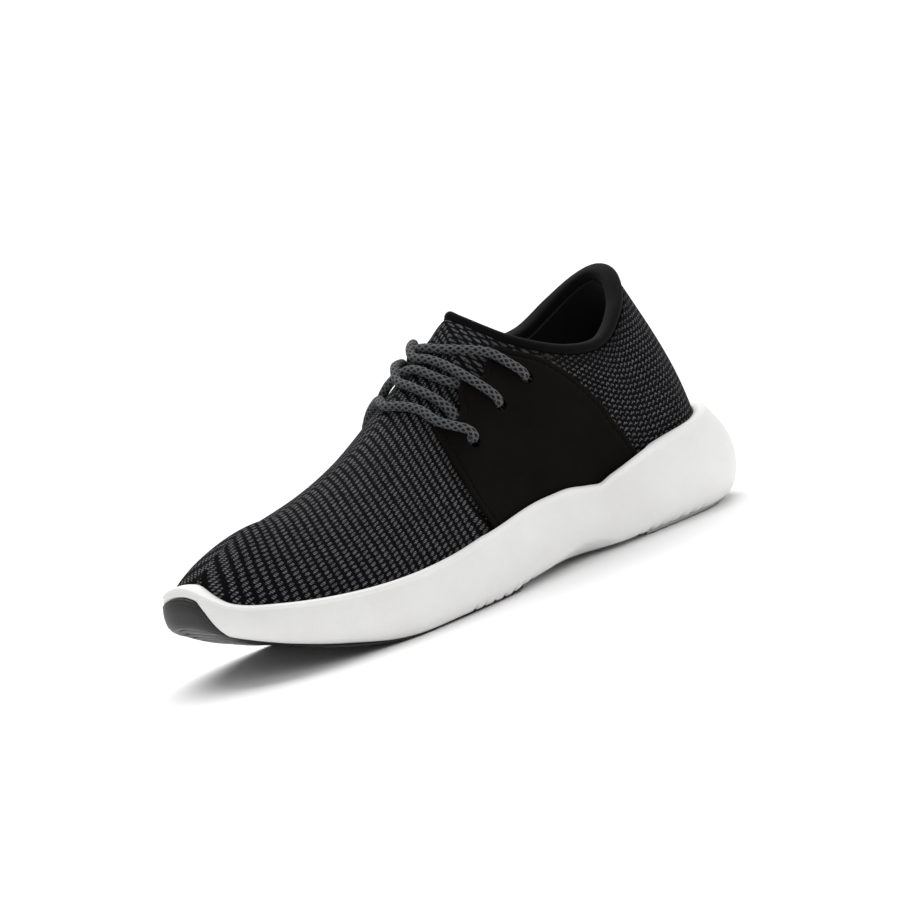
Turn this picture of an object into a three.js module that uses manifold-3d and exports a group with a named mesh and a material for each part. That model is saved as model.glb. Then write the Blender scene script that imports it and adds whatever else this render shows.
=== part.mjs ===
// A low laced running shoe for the left foot: a knitted bootee on a thick foam midsole, with a soft
// panel on each side that carries the eyelets. Millimetres, +X to the toe, +Y to the outer side, +Z up.
import * as THREE from "three";
import { mergeVertices } from "three/addons/utils/BufferGeometryUtils.js";
import Module from "manifold-3d";

const wasm = await Module();
wasm.setup();

// Driving dimensions, measured from the plumb line at the back of the heel.
const upperInset = 5;
const knitThick = 1.4;
const liningThick = 0.9;
const gap = 0.3;
const treadGap = 0.45;
const grooveGap = 0.5;
const collarFoamThick = 3.8;
const tongueFoamThick = 2.6;
const panelThick = 1.2;
const stayThick = 0.6;
const flapRise = 2.4;
const bindingWidth = 8.2;
const bindingTall = 5.2;
const rubberThick = 1.6;
const boardThick = 1.2;
const insoleThick = 4;
const coverThick = 0.8;
const laceDiameter = 4;
const eyeletRadius = 4.1;

// Stations run from the middle of the heel, along one side, to the middle of the toe.
// outer, inner: plan of the midsole's rim on the outer and the inner side of the foot
// lip, floor, sole: heights of the rim, of the floor under the foot and of the midsole's underside
// top: collar edge up to the tongue, then the ridge of the instep; fall: how the side leaves it
// rise, bulge: how the side leaves the floor; flare: how far the midsole swells past its rim
// lift: how much higher the collar is on the inner side
const stations = [
  { outer: [11, 0], inner: [11, 0], lip: 44, floor: 26, sole: 4.5,
    top: [38.6, 0, 107.9], rise: 30, bulge: 2, fall: [-7.3, 0, -22.2], flare: 10, lift: 0 },
  { outer: [15, 19], inner: [15, -19], lip: 42.6, floor: 26.1, sole: 2.4,
    top: [41.7, 13, 104], rise: 30, bulge: 2, fall: [-6.3, 4, -22.2], flare: 9, lift: 1 },
  { outer: [33, 34.5], inner: [33, -33.5], lip: 40.2, floor: 25.6, sole: 2,
    top: [51, 24, 94.3], rise: 28, bulge: 2, fall: [-3.4, 5, -20.1], flare: 6, lift: 4 },
  { outer: [64, 38.5], inner: [64, -36], lip: 37.1, floor: 25.6, sole: 2,
    top: [67.3, 29, 83.8], rise: 26, bulge: 1, fall: [0.6, 5, -20], flare: 3, lift: 7 },
  { outer: [100, 39], inner: [100, -33], lip: 30.2, floor: 25.7, sole: 2,
    top: [88.3, 27, 85.4], rise: 26, bulge: 1, fall: [4.6, 6, -19.9], flare: 2, lift: 6 },
  { outer: [134, 42], inner: [134, -35], lip: 33, floor: 23.8, sole: 3.8,
    top: [110, 18, 97.1], rise: 28, bulge: 1, fall: [8.6, 10, -17.8], flare: 2, lift: 2 },
  { outer: [166, 47.5], inner: [166, -43], lip: 29.8, floor: 18.8, sole: 2,
    top: [126.5, 0, 114.1], rise: 34, bulge: 3, fall: [8.2, 10, -5.8], flare: 2, lift: 0 },
  { outer: [196, 51], inner: [196, -50], lip: 26.4, floor: 16.2, sole: 2,
    top: [155, 0, 96.5], rise: 28, bulge: 3, fall: [3.1, 14, -1.9], flare: 2, lift: 0 },
  { outer: [224, 50.5], inner: [224, -53.5], lip: 25.6, floor: 17.1, sole: 2,
    top: [184.6, 0, 78.4], rise: 22, bulge: 4, fall: [0, 16, 0], flare: 2, lift: 0 },
  { outer: [250, 44], inner: [250, -51.5], lip: 27.1, floor: 20.4, sole: 6.2,
    top: [212.1, 0, 65.3], rise: 17, bulge: 4, fall: [0, 17, 0], flare: 2, lift: 0 },
  { outer: [273, 31], inner: [274, -43], lip: 30.6, floor: 25.1, sole: 13.2,
    top: [238.3, 0, 57.1], rise: 14, bulge: 4, fall: [6, 16, 0.2], flare: 2, lift: 0 },
  { outer: [287, 13], inner: [288, -28], lip: 35.1, floor: 30.6, sole: 20.3,
    top: [257.4, 0, 54.7], rise: 11, bulge: 4, fall: [12, 12, -2.6], flare: 2, lift: 0 },
  { outer: [292, -9], inner: [292, -9], lip: 45.2, floor: 32.7, sole: 26.5,
    top: [269.5, -1, 53.1], rise: 9, bulge: 3, fall: [13, 0, -4.6], flare: 2, lift: 0 },
];
const toe = stations.length - 1;
const around = 2 * toe;
const tongue = 6;
const seam = 5;

const black = { color: 0x141416, roughness: 0.9, metalness: 0 };
const looks = {
  rubber: { color: 0x2b2b2d, roughness: 0.7, metalness: 0 },
  foam: { color: 0xf0f0ee, roughness: 0.6, metalness: 0 },
  knit: { color: 0x232326, roughness: 0.95, metalness: 0 },
  panel: { color: 0x1d1a16, roughness: 0.9, metalness: 0 },
  lace: { color: 0x3a3a3d, roughness: 0.85, metalness: 0 },
  board: { color: 0xb9b2a0, roughness: 0.9, metalness: 0 },
  plastic: { color: 0x1a1a1c, roughness: 0.4, metalness: 0 },
  padding: { color: 0x3c3c40, roughness: 0.95, metalness: 0 },
  black,
};

const shoe = new THREE.Group();

// Smooth step from 0 at a to 1 at b.
function ease(x, a, b) {
  return THREE.MathUtils.smoothstep(b > a ? x : -x, Math.min(a, b) * Math.sign(b - a || 1),
    Math.max(a, b) * Math.sign(b - a || 1));
}

// The station at a whole place around the loop, and which side of the foot it is on.
function place(i) {
  const k = ((i % around) + around) % around;
  return k <= toe ? [stations[k], 1] : [stations[around - k], -1];
}

function blend(p0, p1, p2, p3, f) {
  const a = 2 * p1;
  const b = (p2 - p0) * f;
  const c = (2 * p0 - 5 * p1 + 4 * p2 - p3) * f * f;
  const d = (3 * p1 - p0 - 3 * p2 + p3) * f ** 3;
  return (a + b + c + d) / 2;
}

// A smooth value at q stations around the closed loop.
function loopValue(q, pick) {
  const i = Math.floor(q);
  const [a, b, c, d] = [-1, 0, 1, 2].map((step) => pick(...place(i + step)));
  return blend(a, b, c, d, q - i);
}

const scalar = (key) => (q) => loopValue(q, (row) => row[key]);
const [lip, floor, sole, rise, bulge, flare] = ["lip", "floor", "sole", "rise", "bulge", "flare"]
  .map(scalar);

function rim(q) {
  const pick = (axis) => (row, side) => (side > 0 ? row.outer : row.inner)[axis];
  return new THREE.Vector3(loopValue(q, pick(0)), loopValue(q, pick(1)), 0);
}

// The level direction out of the shoe at the rim.
function away(q) {
  const run = rim(q + 0.02).sub(rim(q - 0.02)).normalize();
  return new THREE.Vector3(-run.y, run.x, 0);
}

function topPoint(row, side, lifted) {
  return new THREE.Vector3(row.top[0], side * row.top[1], row.top[2] + (side < 0 ? lifted : 0));
}

function splineVector(points, f) {
  const [a, b, c, d] = points;
  return new THREE.Vector3(blend(a.x, b.x, c.x, d.x, f), blend(a.y, b.y, c.y, d.y, f),
    blend(a.z, b.z, c.z, d.z, f));
}

// The collar's edge, a closed loop through the heel and the top of the tongue.
function collar(c) {
  const turn = 2 * tongue;
  const i = Math.floor(c);
  const points = [-1, 0, 1, 2].map((step) => {
    const k = (((i + step) % turn) + turn) % turn;
    return k <= tongue ? topPoint(stations[k], 1, 0) : topPoint(stations[turn - k], -1,
      stations[turn - k].lift);
  });
  return splineVector(points, c - i);
}

// The ridge down the instep to the toe.
function ridge(r) {
  const i = Math.min(Math.floor(r), toe - 1);
  const at = (k) => topPoint(stations[k], 1, 0);
  const before = i === tongue ? at(i).multiplyScalar(2).sub(at(i + 1)) : at(i - 1);
  const after = i + 2 <= toe ? at(i + 2) : at(toe).multiplyScalar(2).sub(at(toe - 1));
  return splineVector([before, at(i), at(i + 1), after], r - i);
}

function topEdge(q) {
  const w = ((q % around) + around) % around;
  const r = w <= toe ? w : around - w;
  if (r <= tongue) return collar(w <= toe ? r : 2 * tongue - r);
  return ridge(r);
}

function fall(q) {
  const pick = (axis) => (row, side) => row.fall[axis] * (axis === 1 ? side : 1);
  return new THREE.Vector3(...[0, 1, 2].map((axis) => loopValue(q, pick(axis))));
}

// The outside of the knit: t runs from the floor to the collar edge or the ridge.
function skin(q, t) {
  const out = away(q);
  const foot = rim(q).addScaledVector(out, -upperInset);
  foot.z = floor(q);
  const low = foot.clone().addScaledVector(out, bulge(q));
  low.z += rise(q);
  const top = topEdge(q);
  const high = top.clone().add(fall(q));
  const s = 1 - t;
  return foot.multiplyScalar(s ** 3).addScaledVector(low, 3 * s * s * t)
    .addScaledVector(high, 3 * s * t * t).addScaledVector(top, t ** 3);
}

// The direction straight out of the skin.
function outward(q, t) {
  const up = skin(q, Math.min(t + 0.02, 1)).sub(skin(q, Math.max(t - 0.02, 0)));
  const along = skin(q + 0.03, Math.min(t, 0.96)).sub(skin(q - 0.03, Math.min(t, 0.96)));
  return up.cross(along).normalize();
}

function under(q, t, depth) {
  return skin(q, t).addScaledVector(outward(q, t), -depth);
}

// How far up the side, as t, the surface at a depth under the skin reaches a height.
function tAtHeight(q, z, depth = 0) {
  let a = 0;
  let b = 0.6;
  for (let i = 0; i < 24; i += 1) {
    const mid = (a + b) / 2;
    if (under(q, mid, depth).z < z) a = mid;
    else b = mid;
  }
  return (a + b) / 2;
}

// The midsole's side wall: v runs from its bottom edge to its rim.
const wallShape = [[0, -4], [0.06, -1.6], [0.2, -0.4], [0.45, 0], [0.7, -0.6], [0.9, -1.9], [1, -2]];
function wall(q, v) {
  const j = Math.max(1, wallShape.findIndex(([height]) => height >= v));
  const [h0, s0] = wallShape[j - 1];
  const [h1, s1] = wallShape[j];
  const shape = s0 + ((s1 - s0) * (v - h0)) / (h1 - h0);
  const swell = Math.sin(Math.PI * Math.min(1, 0.12 + v * 0.88)) ** 0.8;
  const spread = shape + 2 + (flare(q) - 2) * swell;
  const p = rim(q).addScaledVector(away(q), spread);
  p.z = sole(q) + v * (lip(q) - sole(q));
  return p;
}

function span(a, b, count) {
  return Array.from({ length: count + 1 }, (unused, i) => a + ((b - a) * i) / count);
}

// Points and triangles of grids, welded where they meet.
function weld(grids) {
  const points = [];
  const faces = [];
  const found = new Map();
  const index = (p) => {
    const key = p.toArray().map((v) => Math.round(v * 1e4)).join();
    if (!found.has(key)) {
      found.set(key, points.length);
      points.push(p);
    }
    return found.get(key);
  };
  const face = (a, b, c) => {
    if (a !== b && b !== c && c !== a) faces.push([a, b, c]);
  };
  for (const grid of grids) {
    const ids = grid.map((row) => row.map(index));
    for (let i = 0; i + 1 < ids.length; i += 1) {
      for (let j = 0; j + 1 < ids[i].length; j += 1) {
        face(ids[i][j], ids[i][j + 1], ids[i + 1][j]);
        face(ids[i + 1][j], ids[i][j + 1], ids[i + 1][j + 1]);
      }
    }
  }
  return { points, faces };
}

function closedGeometry(points, faces) {
  const geometry = new THREE.BufferGeometry();
  geometry.setAttribute("position", new THREE.Float32BufferAttribute(
    points.flatMap((p) => p.toArray()), 3));
  geometry.setIndex(faces.flat());
  geometry.computeVertexNormals();
  return geometry;
}

// A sheet with thickness: the welded grids, moved out of their surface by two distances.
function thicken(grids, outerOf, innerOf) {
  const { points, faces } = weld(grids);
  const normals = points.map(() => new THREE.Vector3());
  const edges = new Map();
  for (const [a, b, c] of faces) {
    const n = points[b].clone().sub(points[a]).cross(points[c].clone().sub(points[a]));
    for (const [u, v] of [[a, b], [b, c], [c, a]]) edges.set(`${u},${v}`, [u, v]);
    for (const v of [a, b, c]) normals[v].add(n);
  }
  const count = points.length;
  const shifted = (distance) => points.map((p, i) =>
    p.clone().addScaledVector(normals[i].clone().normalize(), distance(p)));
  const all = [...shifted(outerOf), ...shifted(innerOf)];
  const solid = [...faces, ...faces.map(([a, b, c]) => [a + count, c + count, b + count])];
  for (const [u, v] of edges.values()) {
    if (edges.has(`${v},${u}`)) continue;
    solid.push([v, u, u + count], [v, u + count, v + count]);
  }
  return closedGeometry(all, solid);
}

// A solid between closed rings, shut by ladders across the first and the last ring.
function stack(rings) {
  const size = rings[0].length;
  const points = rings.flat();
  const faces = [];
  rings.slice(1).forEach((unused, r) => {
    for (let i = 0; i < size; i += 1) {
      const a = r * size + i;
      const b = r * size + ((i + 1) % size);
      faces.push([a, a + size, b], [b, a + size, b + size]);
    }
  });
  const last = (rings.length - 1) * size;
  for (let i = 0; i < size / 2; i += 1) {
    const quad = [i, i + 1, size - i - 1, (size - i) % size];
    const [a, b, c, d] = quad;
    if (c !== b) faces.push([a, b, c]);
    if (d !== a) faces.push([a, c, d]);
    if (c !== b) faces.push([last + a, last + c, last + b]);
    if (d !== a) faces.push([last + a, last + d, last + c]);
  }
  return closedGeometry(points, faces);
}

function addPiece(name, geometry, look) {
  const mesh = new THREE.Mesh(geometry, new THREE.MeshStandardMaterial(look));
  mesh.name = name;
  shoe.add(mesh);
  return mesh;
}

function toManifold(geometry) {
  const bare = geometry.clone();
  bare.deleteAttribute("normal");
  bare.deleteAttribute("uv");
  const merged = mergeVertices(bare, 1e-4);
  return new wasm.Manifold(new wasm.Mesh({
    numProp: 3,
    vertProperties: Float32Array.from(merged.attributes.position.array),
    triVerts: Uint32Array.from(merged.index.array),
  }));
}

function fromManifold(solid) {
  const mesh = solid.getMesh();
  const geometry = new THREE.BufferGeometry();
  geometry.setAttribute("position", new THREE.BufferAttribute(mesh.vertProperties, 3));
  geometry.setIndex(new THREE.BufferAttribute(mesh.triVerts, 1));
  return geometry;
}

// Grid of skin points; columns run along q and rows run up t.
function skinGrid(qs, ts) {
  return qs.map((q) => ts.map((t) => ({ q, t })));
}

// A layer of the upper between two depths under the skin, each a function of q and t.
function layer(grids, outerDepth, innerDepth) {
  const keep = new Map();
  const placed = grids.map((grid) => grid.map((row) => row.map(({ q, t }) => {
    const p = skin(q, t);
    keep.set(p, { q, t });
    return p;
  })));
  const read = (depth) => (p) => {
    const { q, t } = keep.get(p);
    return -depth(q, t);
  };
  return thicken(placed, read(outerDepth), read(innerDepth));
}

const rows = [0, 0.08, 0.18, 0.3, 0.42, 0.55, 0.68, 0.8, 0.9, 1];
const rearColumns = span(-seam + 0.005, seam - 0.005, 30);
const frontColumns = span(seam + 0.005, around - seam - 0.005, 42);
const backFromHeel = (q) => Math.abs(q > toe ? q - around : q);
const foamOut = knitThick + gap;

function collarDepth(q, t) {
  const high = ease(t, 0.42, 0.55);
  return foamOut + 1.6 + (collarFoamThick - 1.6) * high;
}

function tongueDepth(q, t) {
  const r = q <= toe ? q : around - q;
  return foamOut + 1.1 + (tongueFoamThick - 1.1) * ease(t, 0.68, 0.9) * ease(r, 8.8, 7.6);
}

function addUpper() {
  addPiece("quarter_knit", layer([skinGrid(rearColumns, rows)], () => 0, () => knitThick),
    looks.knit);
  addPiece("vamp_knit", layer([skinGrid(frontColumns, rows)], () => 0, () => knitThick),
    looks.knit);
  addPiece("quarter_lining", layer([skinGrid(rearColumns, rows)],
    (q, t) => collarDepth(q, t) + gap, (q, t) => collarDepth(q, t) + gap + liningThick),
  looks.black);
  addPiece("vamp_lining", layer([skinGrid(frontColumns, rows)],
    (q, t) => tongueDepth(q, t) + gap, (q, t) => tongueDepth(q, t) + gap + liningThick),
  looks.black);
}

function addStiffeners() {
  const cupColumns = rearColumns.filter((q) => Math.abs(q) < 2.8);
  addPiece("heel_counter", layer([skinGrid(cupColumns, [0, 0.08, 0.18, 0.3, 0.415])],
    () => foamOut, () => foamOut + 1.5), looks.plastic);
  const collarColumns = rearColumns.filter((q) => Math.abs(q) < 4.8);
  addPiece("collar_foam", layer([skinGrid(collarColumns, rows.slice(4))],
    () => foamOut, collarDepth), looks.padding);
  const tipColumns = frontColumns.filter((q) => Math.abs(q - toe) < 1.8);
  addPiece("toe_puff", layer([skinGrid(tipColumns, rows)], () => foamOut + 0.3,
    () => foamOut + 0.8), looks.plastic);
  const pad = [frontColumns.filter((q) => q > 5.2 && q < 8.2),
    frontColumns.filter((q) => q > around - 8.2 && q < around - 5.2)];
  addPiece("tongue_foam", layer(pad.map((qs) => skinGrid(qs, rows.slice(6))),
    () => foamOut, tongueDepth), looks.padding);
}

// The padded band on the collar's edge, a closed loop.
function addBinding() {
  const count = 60;
  const section = span(0, 2 * Math.PI, 12).slice(0, -1);
  const loop = span(0, 2 * tongue, count).slice(0, -1).map((c) => {
    const q = c <= tongue ? c : around - (2 * tongue - c);
    const along = collar(c + 0.02).sub(collar(c - 0.02)).normalize();
    const out = outward(q, 0.93);
    out.addScaledVector(along, -out.dot(along)).normalize();
    const up = along.clone().cross(out).normalize();
    const centre = collar(c).addScaledVector(out, -bindingWidth / 2 + 1.2)
      .addScaledVector(up, gap + bindingTall / 2);
    return section.map((angle) => {
      const squash = (v) => Math.sign(v) * Math.abs(v) ** 0.8;
      return centre.clone().addScaledVector(out, (squash(Math.cos(angle)) * bindingWidth) / 2)
        .addScaledVector(up, (squash(Math.sin(angle)) * bindingTall) / 2);
    });
  });
  loop.push(loop[0]);
  const closed = loop.map((ring) => [...ring, ring[0]]);
  const { points, faces } = weld([closed]);
  addPiece("collar_binding", closedGeometry(points, faces), looks.black);
}

// A side panel's edges, as [q, t] from its front corner to its back corner.
const panelFront = [[6.0, 0], [6.38, 0.32], [6.8, 0.6]];
const panelBack = [[3.05, 0], [3.33, 0.34], [3.78, 0.69], [4.5, 0.91], [5.27, 0.88]];
const panelThroat = [[6.8, 0.6], [6.2, 0.54], [5.95, 0.61], [5.5, 0.67], [5.38, 0.77], [5.27, 0.88]];
const eyelets = [[5.89, 0.39], [5.3, 0.55], [4.84, 0.74]];

function plane(path, f) {
  const curve = new THREE.SplineCurve(path.map(([q, t]) => new THREE.Vector2(q, t)));
  return curve.getPoint(f);
}

// A point of the panel: a from the front edge to the back edge, b from the lip to the throat.
function panelPlace(a, b) {
  const low = (q) => new THREE.Vector2(q, tAtHeight(q, lip(q) + 1.6));
  const front = plane(panelFront, b);
  const back = plane(panelBack, b);
  const bottom = low(6.0 + (3.05 - 6.0) * a);
  const throat = plane(panelThroat, a);
  const across = front.clone().multiplyScalar(1 - a).addScaledVector(back, a);
  const upright = bottom.clone().multiplyScalar(1 - b).addScaledVector(throat, b);
  const corners = new THREE.Vector2(6.0, 0).multiplyScalar((1 - a) * (1 - b))
    .addScaledVector(new THREE.Vector2(3.05, 0), a * (1 - b))
    .addScaledVector(new THREE.Vector2(6.8, 0.6), (1 - a) * b)
    .addScaledVector(new THREE.Vector2(5.27, 0.88), a * b);
  const p = across.add(upright).sub(corners);
  return { q: p.x, t: Math.max(p.y, low(p.x).y) };
}

function panelGrid(side, as, bs) {
  const grid = as.map((a) => bs.map((b) => {
    const { q, t } = panelPlace(a, b);
    return { q: side > 0 ? q : around - q, t, b };
  }));
  return side > 0 ? grid.reverse() : grid;
}

function panelLayer(side, as, bs, low, high) {
  const keep = new Map();
  const grid = panelGrid(side, as, bs).map((row) => row.map(({ q, t, b }) => {
    const p = skin(q, t);
    keep.set(p, flapRise * ease(b, 0.4, 0.68));
    return p;
  }));
  return thicken([grid], (p) => high + keep.get(p), (p) => low + keep.get(p));
}

function eyeletCutter(side, [q, t]) {
  const at = side > 0 ? q : around - q;
  const out = outward(at, t);
  const pin = new THREE.CylinderGeometry(eyeletRadius, eyeletRadius, 16, 16);
  pin.applyQuaternion(new THREE.Quaternion().setFromUnitVectors(new THREE.Vector3(0, 1, 0), out));
  const centre = skin(at, t);
  pin.translate(centre.x, centre.y, centre.z);
  return toManifold(pin);
}

function addPanel(side, name, stayName) {
  const stayLow = gap;
  const panelLow = stayLow + stayThick + 0.35;
  let panel = toManifold(panelLayer(side, span(0, 1, 12), span(0, 1, 9), panelLow,
    panelLow + panelThick));
  let stay = toManifold(panelLayer(side, span(0.08, 0.92, 10), span(0.62, 0.97, 4), stayLow,
    stayLow + stayThick));
  for (const eyelet of eyelets) {
    const cutter = eyeletCutter(side, eyelet);
    panel = panel.subtract(cutter);
    stay = stay.subtract(cutter);
  }
  addPiece(name, fromManifold(panel), looks.panel);
  addPiece(stayName, fromManifold(stay), looks.plastic);
}

// A place of the lace over the skin on one side: q, t, height of its middle, how flat it is pressed.
function overSkin(side, q, t, height, flat = 0) {
  return { side, q, t, height, flat };
}

function spot({ side, q, t, height }) {
  return under(side > 0 ? q : around - q, t, -height);
}

// More places between those far apart, so that the lace follows the skin.
function followSkin(places) {
  const result = [places[0]];
  places.slice(1).forEach((to, i) => {
    const from = places[i];
    const side = from.t < 1 ? from.side : to.side;
    const count = Math.max(1, Math.round(spot(from).distanceTo(spot(to)) / 8));
    for (let j = 1; j <= count; j += 1) {
      const mix = (key) => THREE.MathUtils.lerp(from[key], to[key], j / count);
      const lastSide = j === count ? to.side : side;
      result.push(overSkin(lastSide, mix("q"), mix("t"), mix("height"), mix("flat")));
    }
  });
  return result;
}

const underRun = 1.35;
const overRun = 2 * gap + stayThick + panelThick + flapRise + gap + laceDiameter / 2;

// The lace's bend through an eyelet, from under the panel to over it, led off towards a place.
function eyeletTurn(side, [q, t], toward) {
  const at = (p) => skin(side > 0 ? p[0] : around - p[0], p[1]);
  const reach = at([q, t]).distanceTo(at(toward));
  const step = (mm) => [q + ((toward[0] - q) * mm) / reach, t + ((toward[1] - t) * mm) / reach];
  const middle = (underRun + overRun) / 2;
  return [
    overSkin(side, ...step(6), underRun, 1),
    overSkin(side, ...step(2.6), underRun + 0.3, 0.8),
    overSkin(side, ...step(0), middle, 0),
    overSkin(side, ...step(2.6), overRun - 0.2, 0),
    overSkin(side, ...step(6), overRun, 0),
  ];
}

// The lace's whole way: five crossings between three eyelets on each side.
function lacePoints() {
  const [front, mid, rear] = eyelets;
  const low = 2.5;
  const high = overRun;
  const outer = (...place) => overSkin(1, ...place);
  const inner = (...place) => overSkin(-1, ...place);
  return [
    ...eyeletTurn(1, rear, [5.3, 0.8]),
    outer(5.4, 0.79, high), outer(5.7, 0.76, 5), outer(6.14, 0.78, low + 0.3),
    outer(6.39, 0.87, low), outer(6.55, 1, low), inner(6.35, 0.84, low),
    inner(6.05, 0.72, low), inner(5.8, 0.65, 1.5, 0.9),
    ...eyeletTurn(-1, mid, [5.6, 0.61]),
    inner(6, 0.69, high), inner(6.5, 0.8, high), inner(6.85, 0.92, high), outer(6.95, 1, high),
    outer(6.97, 0.9, 5.4), outer(6.82, 0.77, 3), outer(6.59, 0.66, low),
    outer(6.45, 0.59, 1.9, 0.6), outer(6.3, 0.54, 1.4, 1),
    ...eyeletTurn(1, front, [6.05, 0.44]),
    outer(6.35, 0.48, high), outer(6.8, 0.585, high), outer(7, 0.68, 5), outer(7.34, 0.83, low),
    outer(7.52, 1, low), inner(7.34, 0.83, low), inner(7, 0.68, 5), inner(6.8, 0.585, high),
    inner(6.35, 0.48, high),
    ...eyeletTurn(-1, front, [6.05, 0.44]).reverse(),
    inner(6.3, 0.54, 1.4, 1), inner(6.45, 0.59, 1.9, 0.6), inner(6.6, 0.66, low),
    inner(6.9, 0.85, low), outer(7, 1, low), outer(6.89, 0.92, low), outer(6.54, 0.74, low),
    outer(6.29, 0.66, low), outer(6.15, 0.63, 1.8, 0.6), outer(5.95, 0.61, 1.4, 1),
    ...eyeletTurn(1, mid, [5.6, 0.58]),
    outer(5.83, 0.6, high), outer(6.1, 0.65, high), outer(6.32, 0.77, 6), outer(6.51, 0.9, 6.2),
    outer(6.58, 1, high), inner(6.35, 0.93, high), inner(5.9, 0.87, high), inner(5.4, 0.8, high),
    ...eyeletTurn(-1, rear, [5.3, 0.8]).reverse(),
  ];
}

// The lace: an oval swept along its way, round in the open and pressed flat under the panels.
function addLace() {
  const places = followSkin(lacePoints());
  const curve = new THREE.CatmullRomCurve3(places.map(spot), false, "centripetal");
  const steps = (places.length - 1) * 2;
  const slope = new THREE.Vector3(0.82, 0, -0.57);
  const rings = span(0, 1, steps).map((f) => {
    const centre = curve.getPoint(f);
    const along = curve.getTangent(f);
    const wide = slope.clone().addScaledVector(along, -slope.dot(along)).normalize();
    const tall = wide.clone().cross(along).normalize();
    const i = Math.min(Math.floor(f * (places.length - 1)), places.length - 2);
    const flat = THREE.MathUtils.lerp(places[i].flat, places[i + 1].flat,
      f * (places.length - 1) - i);
    const a = (laceDiameter / 2) * (1 + 0.3 * flat);
    const b = (laceDiameter / 2) * (1 - 0.57 * flat);
    return span(0, 2 * Math.PI, 8).slice(0, -1).map((angle) => centre.clone()
      .addScaledVector(wide, Math.cos(angle) * a).addScaledVector(tall, Math.sin(angle) * b));
  });
  addPiece("lace", stack(rings), looks.lace);
  addLaceTip("lace_tip_lateral", 1, eyelets[2], [5.3, 0.8]);
  addLaceTip("lace_tip_medial", -1, eyelets[2], [5.3, 0.8]);
}

function addLaceTip(name, side, eyelet, toward) {
  const at = ([q, t]) => under(side > 0 ? q : around - q, t, -underRun);
  const from = at(eyelet);
  const way = at(toward).sub(from).normalize();
  const tip = new THREE.CylinderGeometry(0.9, 0.9, 7, 10);
  tip.applyQuaternion(new THREE.Quaternion().setFromUnitVectors(new THREE.Vector3(0, 1, 0), way));
  const centre = from.addScaledVector(way, 6 + 2 * gap + 3.5);
  tip.translate(centre.x, centre.y, centre.z);
  addPiece(name, tip, looks.plastic);
}

// The midsole, with a groove around the foot in which the upper sits.
function addMidsole() {
  const qs = span(0, around, 72).slice(0, -1);
  const outerRings = [0, 0.06, 0.2, 0.45, 0.7, 0.9, 1].map((v) => qs.map((q) => wall(q, v)));
  const groove = (height, extra) => qs.map((q) => {
    const z = floor(q) + height * (lip(q) - floor(q));
    const p = under(q, tAtHeight(q, z, -grooveGap), -grooveGap);
    p.z = z + extra;
    return p;
  });
  const base = qs.map((q) => wall(q, 0).addScaledVector(away(q), -3));
  const crest = qs.map((q, i) => outerRings.at(-1)[i].clone().lerp(groove(1, 0)[i], 0.6)
    .add(new THREE.Vector3(0, 0, 0.8)));
  const bed = qs.map((q) => {
    const p = under(q, 0, -grooveGap);
    p.z = floor(q) - gap;
    return p;
  });
  addPiece("midsole", stack([base, ...outerRings, crest, groove(1, -0.2), groove(0.75, 0),
    groove(0.5, 0), groove(0.25, 0), bed]), looks.foam);
}

// A tread under part of the midsole: columns cross the sole from one side to the other, and the
// edge climbs the side wall as far as climb says. Where the shoe stands, its underside is flat.
function addTread(name, qs, climb, look) {
  const grid = qs.map((q) => {
    const far = around - q;
    const side = (p) => [1, 0.45, 0.2, 0.06, 0].map((v) => wall(p, Math.min(v, climb(q))));
    const inset = (p) => wall(p, 0).addScaledVector(away(p), -3);
    const middle = inset(q).lerp(inset(far), 0.5);
    return [...side(q), inset(q), middle, inset(far), ...side(far).reverse()];
  });
  const turned = grid[0].map((unused, j) => grid.map((row) => row[j]));
  const tread = thicken([turned], () => treadGap + rubberThick, () => treadGap);
  const place = tread.attributes.position;
  for (let i = 0; i < place.count; i += 1) place.setZ(i, Math.max(0, place.getZ(i)));
  addPiece(name, tread, look);
}

function addTreads() {
  const frontClimb = (q) => 0.1 + 0.5 * ease(q, 10.6, 11.4);
  addTread("outsole_forefoot", span(17 / 3, toe, 19), frontClimb, looks.rubber);
  addTread("outsole_heel", span(0, 10 / 3, 10), () => 0.06, looks.foam);
}

// A flat layer on the floor of the shoe, kept clear of the lining all around.
function addBed(name, low, high, clear, look) {
  const qs = span(0, around, 72).slice(0, -1);
  const ring = (height) => qs.map((q) => {
    const layers = backFromHeel(q) < seam + 0.5 ? collarDepth(q, 0) : tongueDepth(q, 0);
    const depth = layers + gap + liningThick + clear;
    const p = under(q, tAtHeight(q, floor(q) + high, depth), depth);
    p.z = floor(q) + height;
    return p;
  });
  addPiece(name, stack([ring(low), ring(high)]), look);
}

function addBeds() {
  const boardTop = gap + boardThick;
  addBed("strobel_board", gap, boardTop, gap, looks.board);
  const foamTop = boardTop + gap + insoleThick;
  addBed("insole_foam", boardTop + gap, foamTop, 0.9, looks.padding);
  addBed("insole_cover", foamTop + gap, foamTop + gap + coverThick, 1.2, looks.black);
}

addMidsole();
addTreads();
addUpper();
addStiffeners();
addBinding();
addPanel(1, "lateral_panel", "lateral_eyestay");
addPanel(-1, "medial_panel", "medial_eyestay");
addBeds();
addLace();

// The origin goes to the middle of the shoe's plan, on the ground.
const bounds = new THREE.Box3().setFromObject(shoe);
const middle = bounds.getCenter(new THREE.Vector3());
shoe.position.set(-middle.x, -middle.y, 0);

export default shoe;
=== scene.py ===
import math

import bmesh
import bpy
import numpy as np
from mathutils import Matrix, Vector


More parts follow.
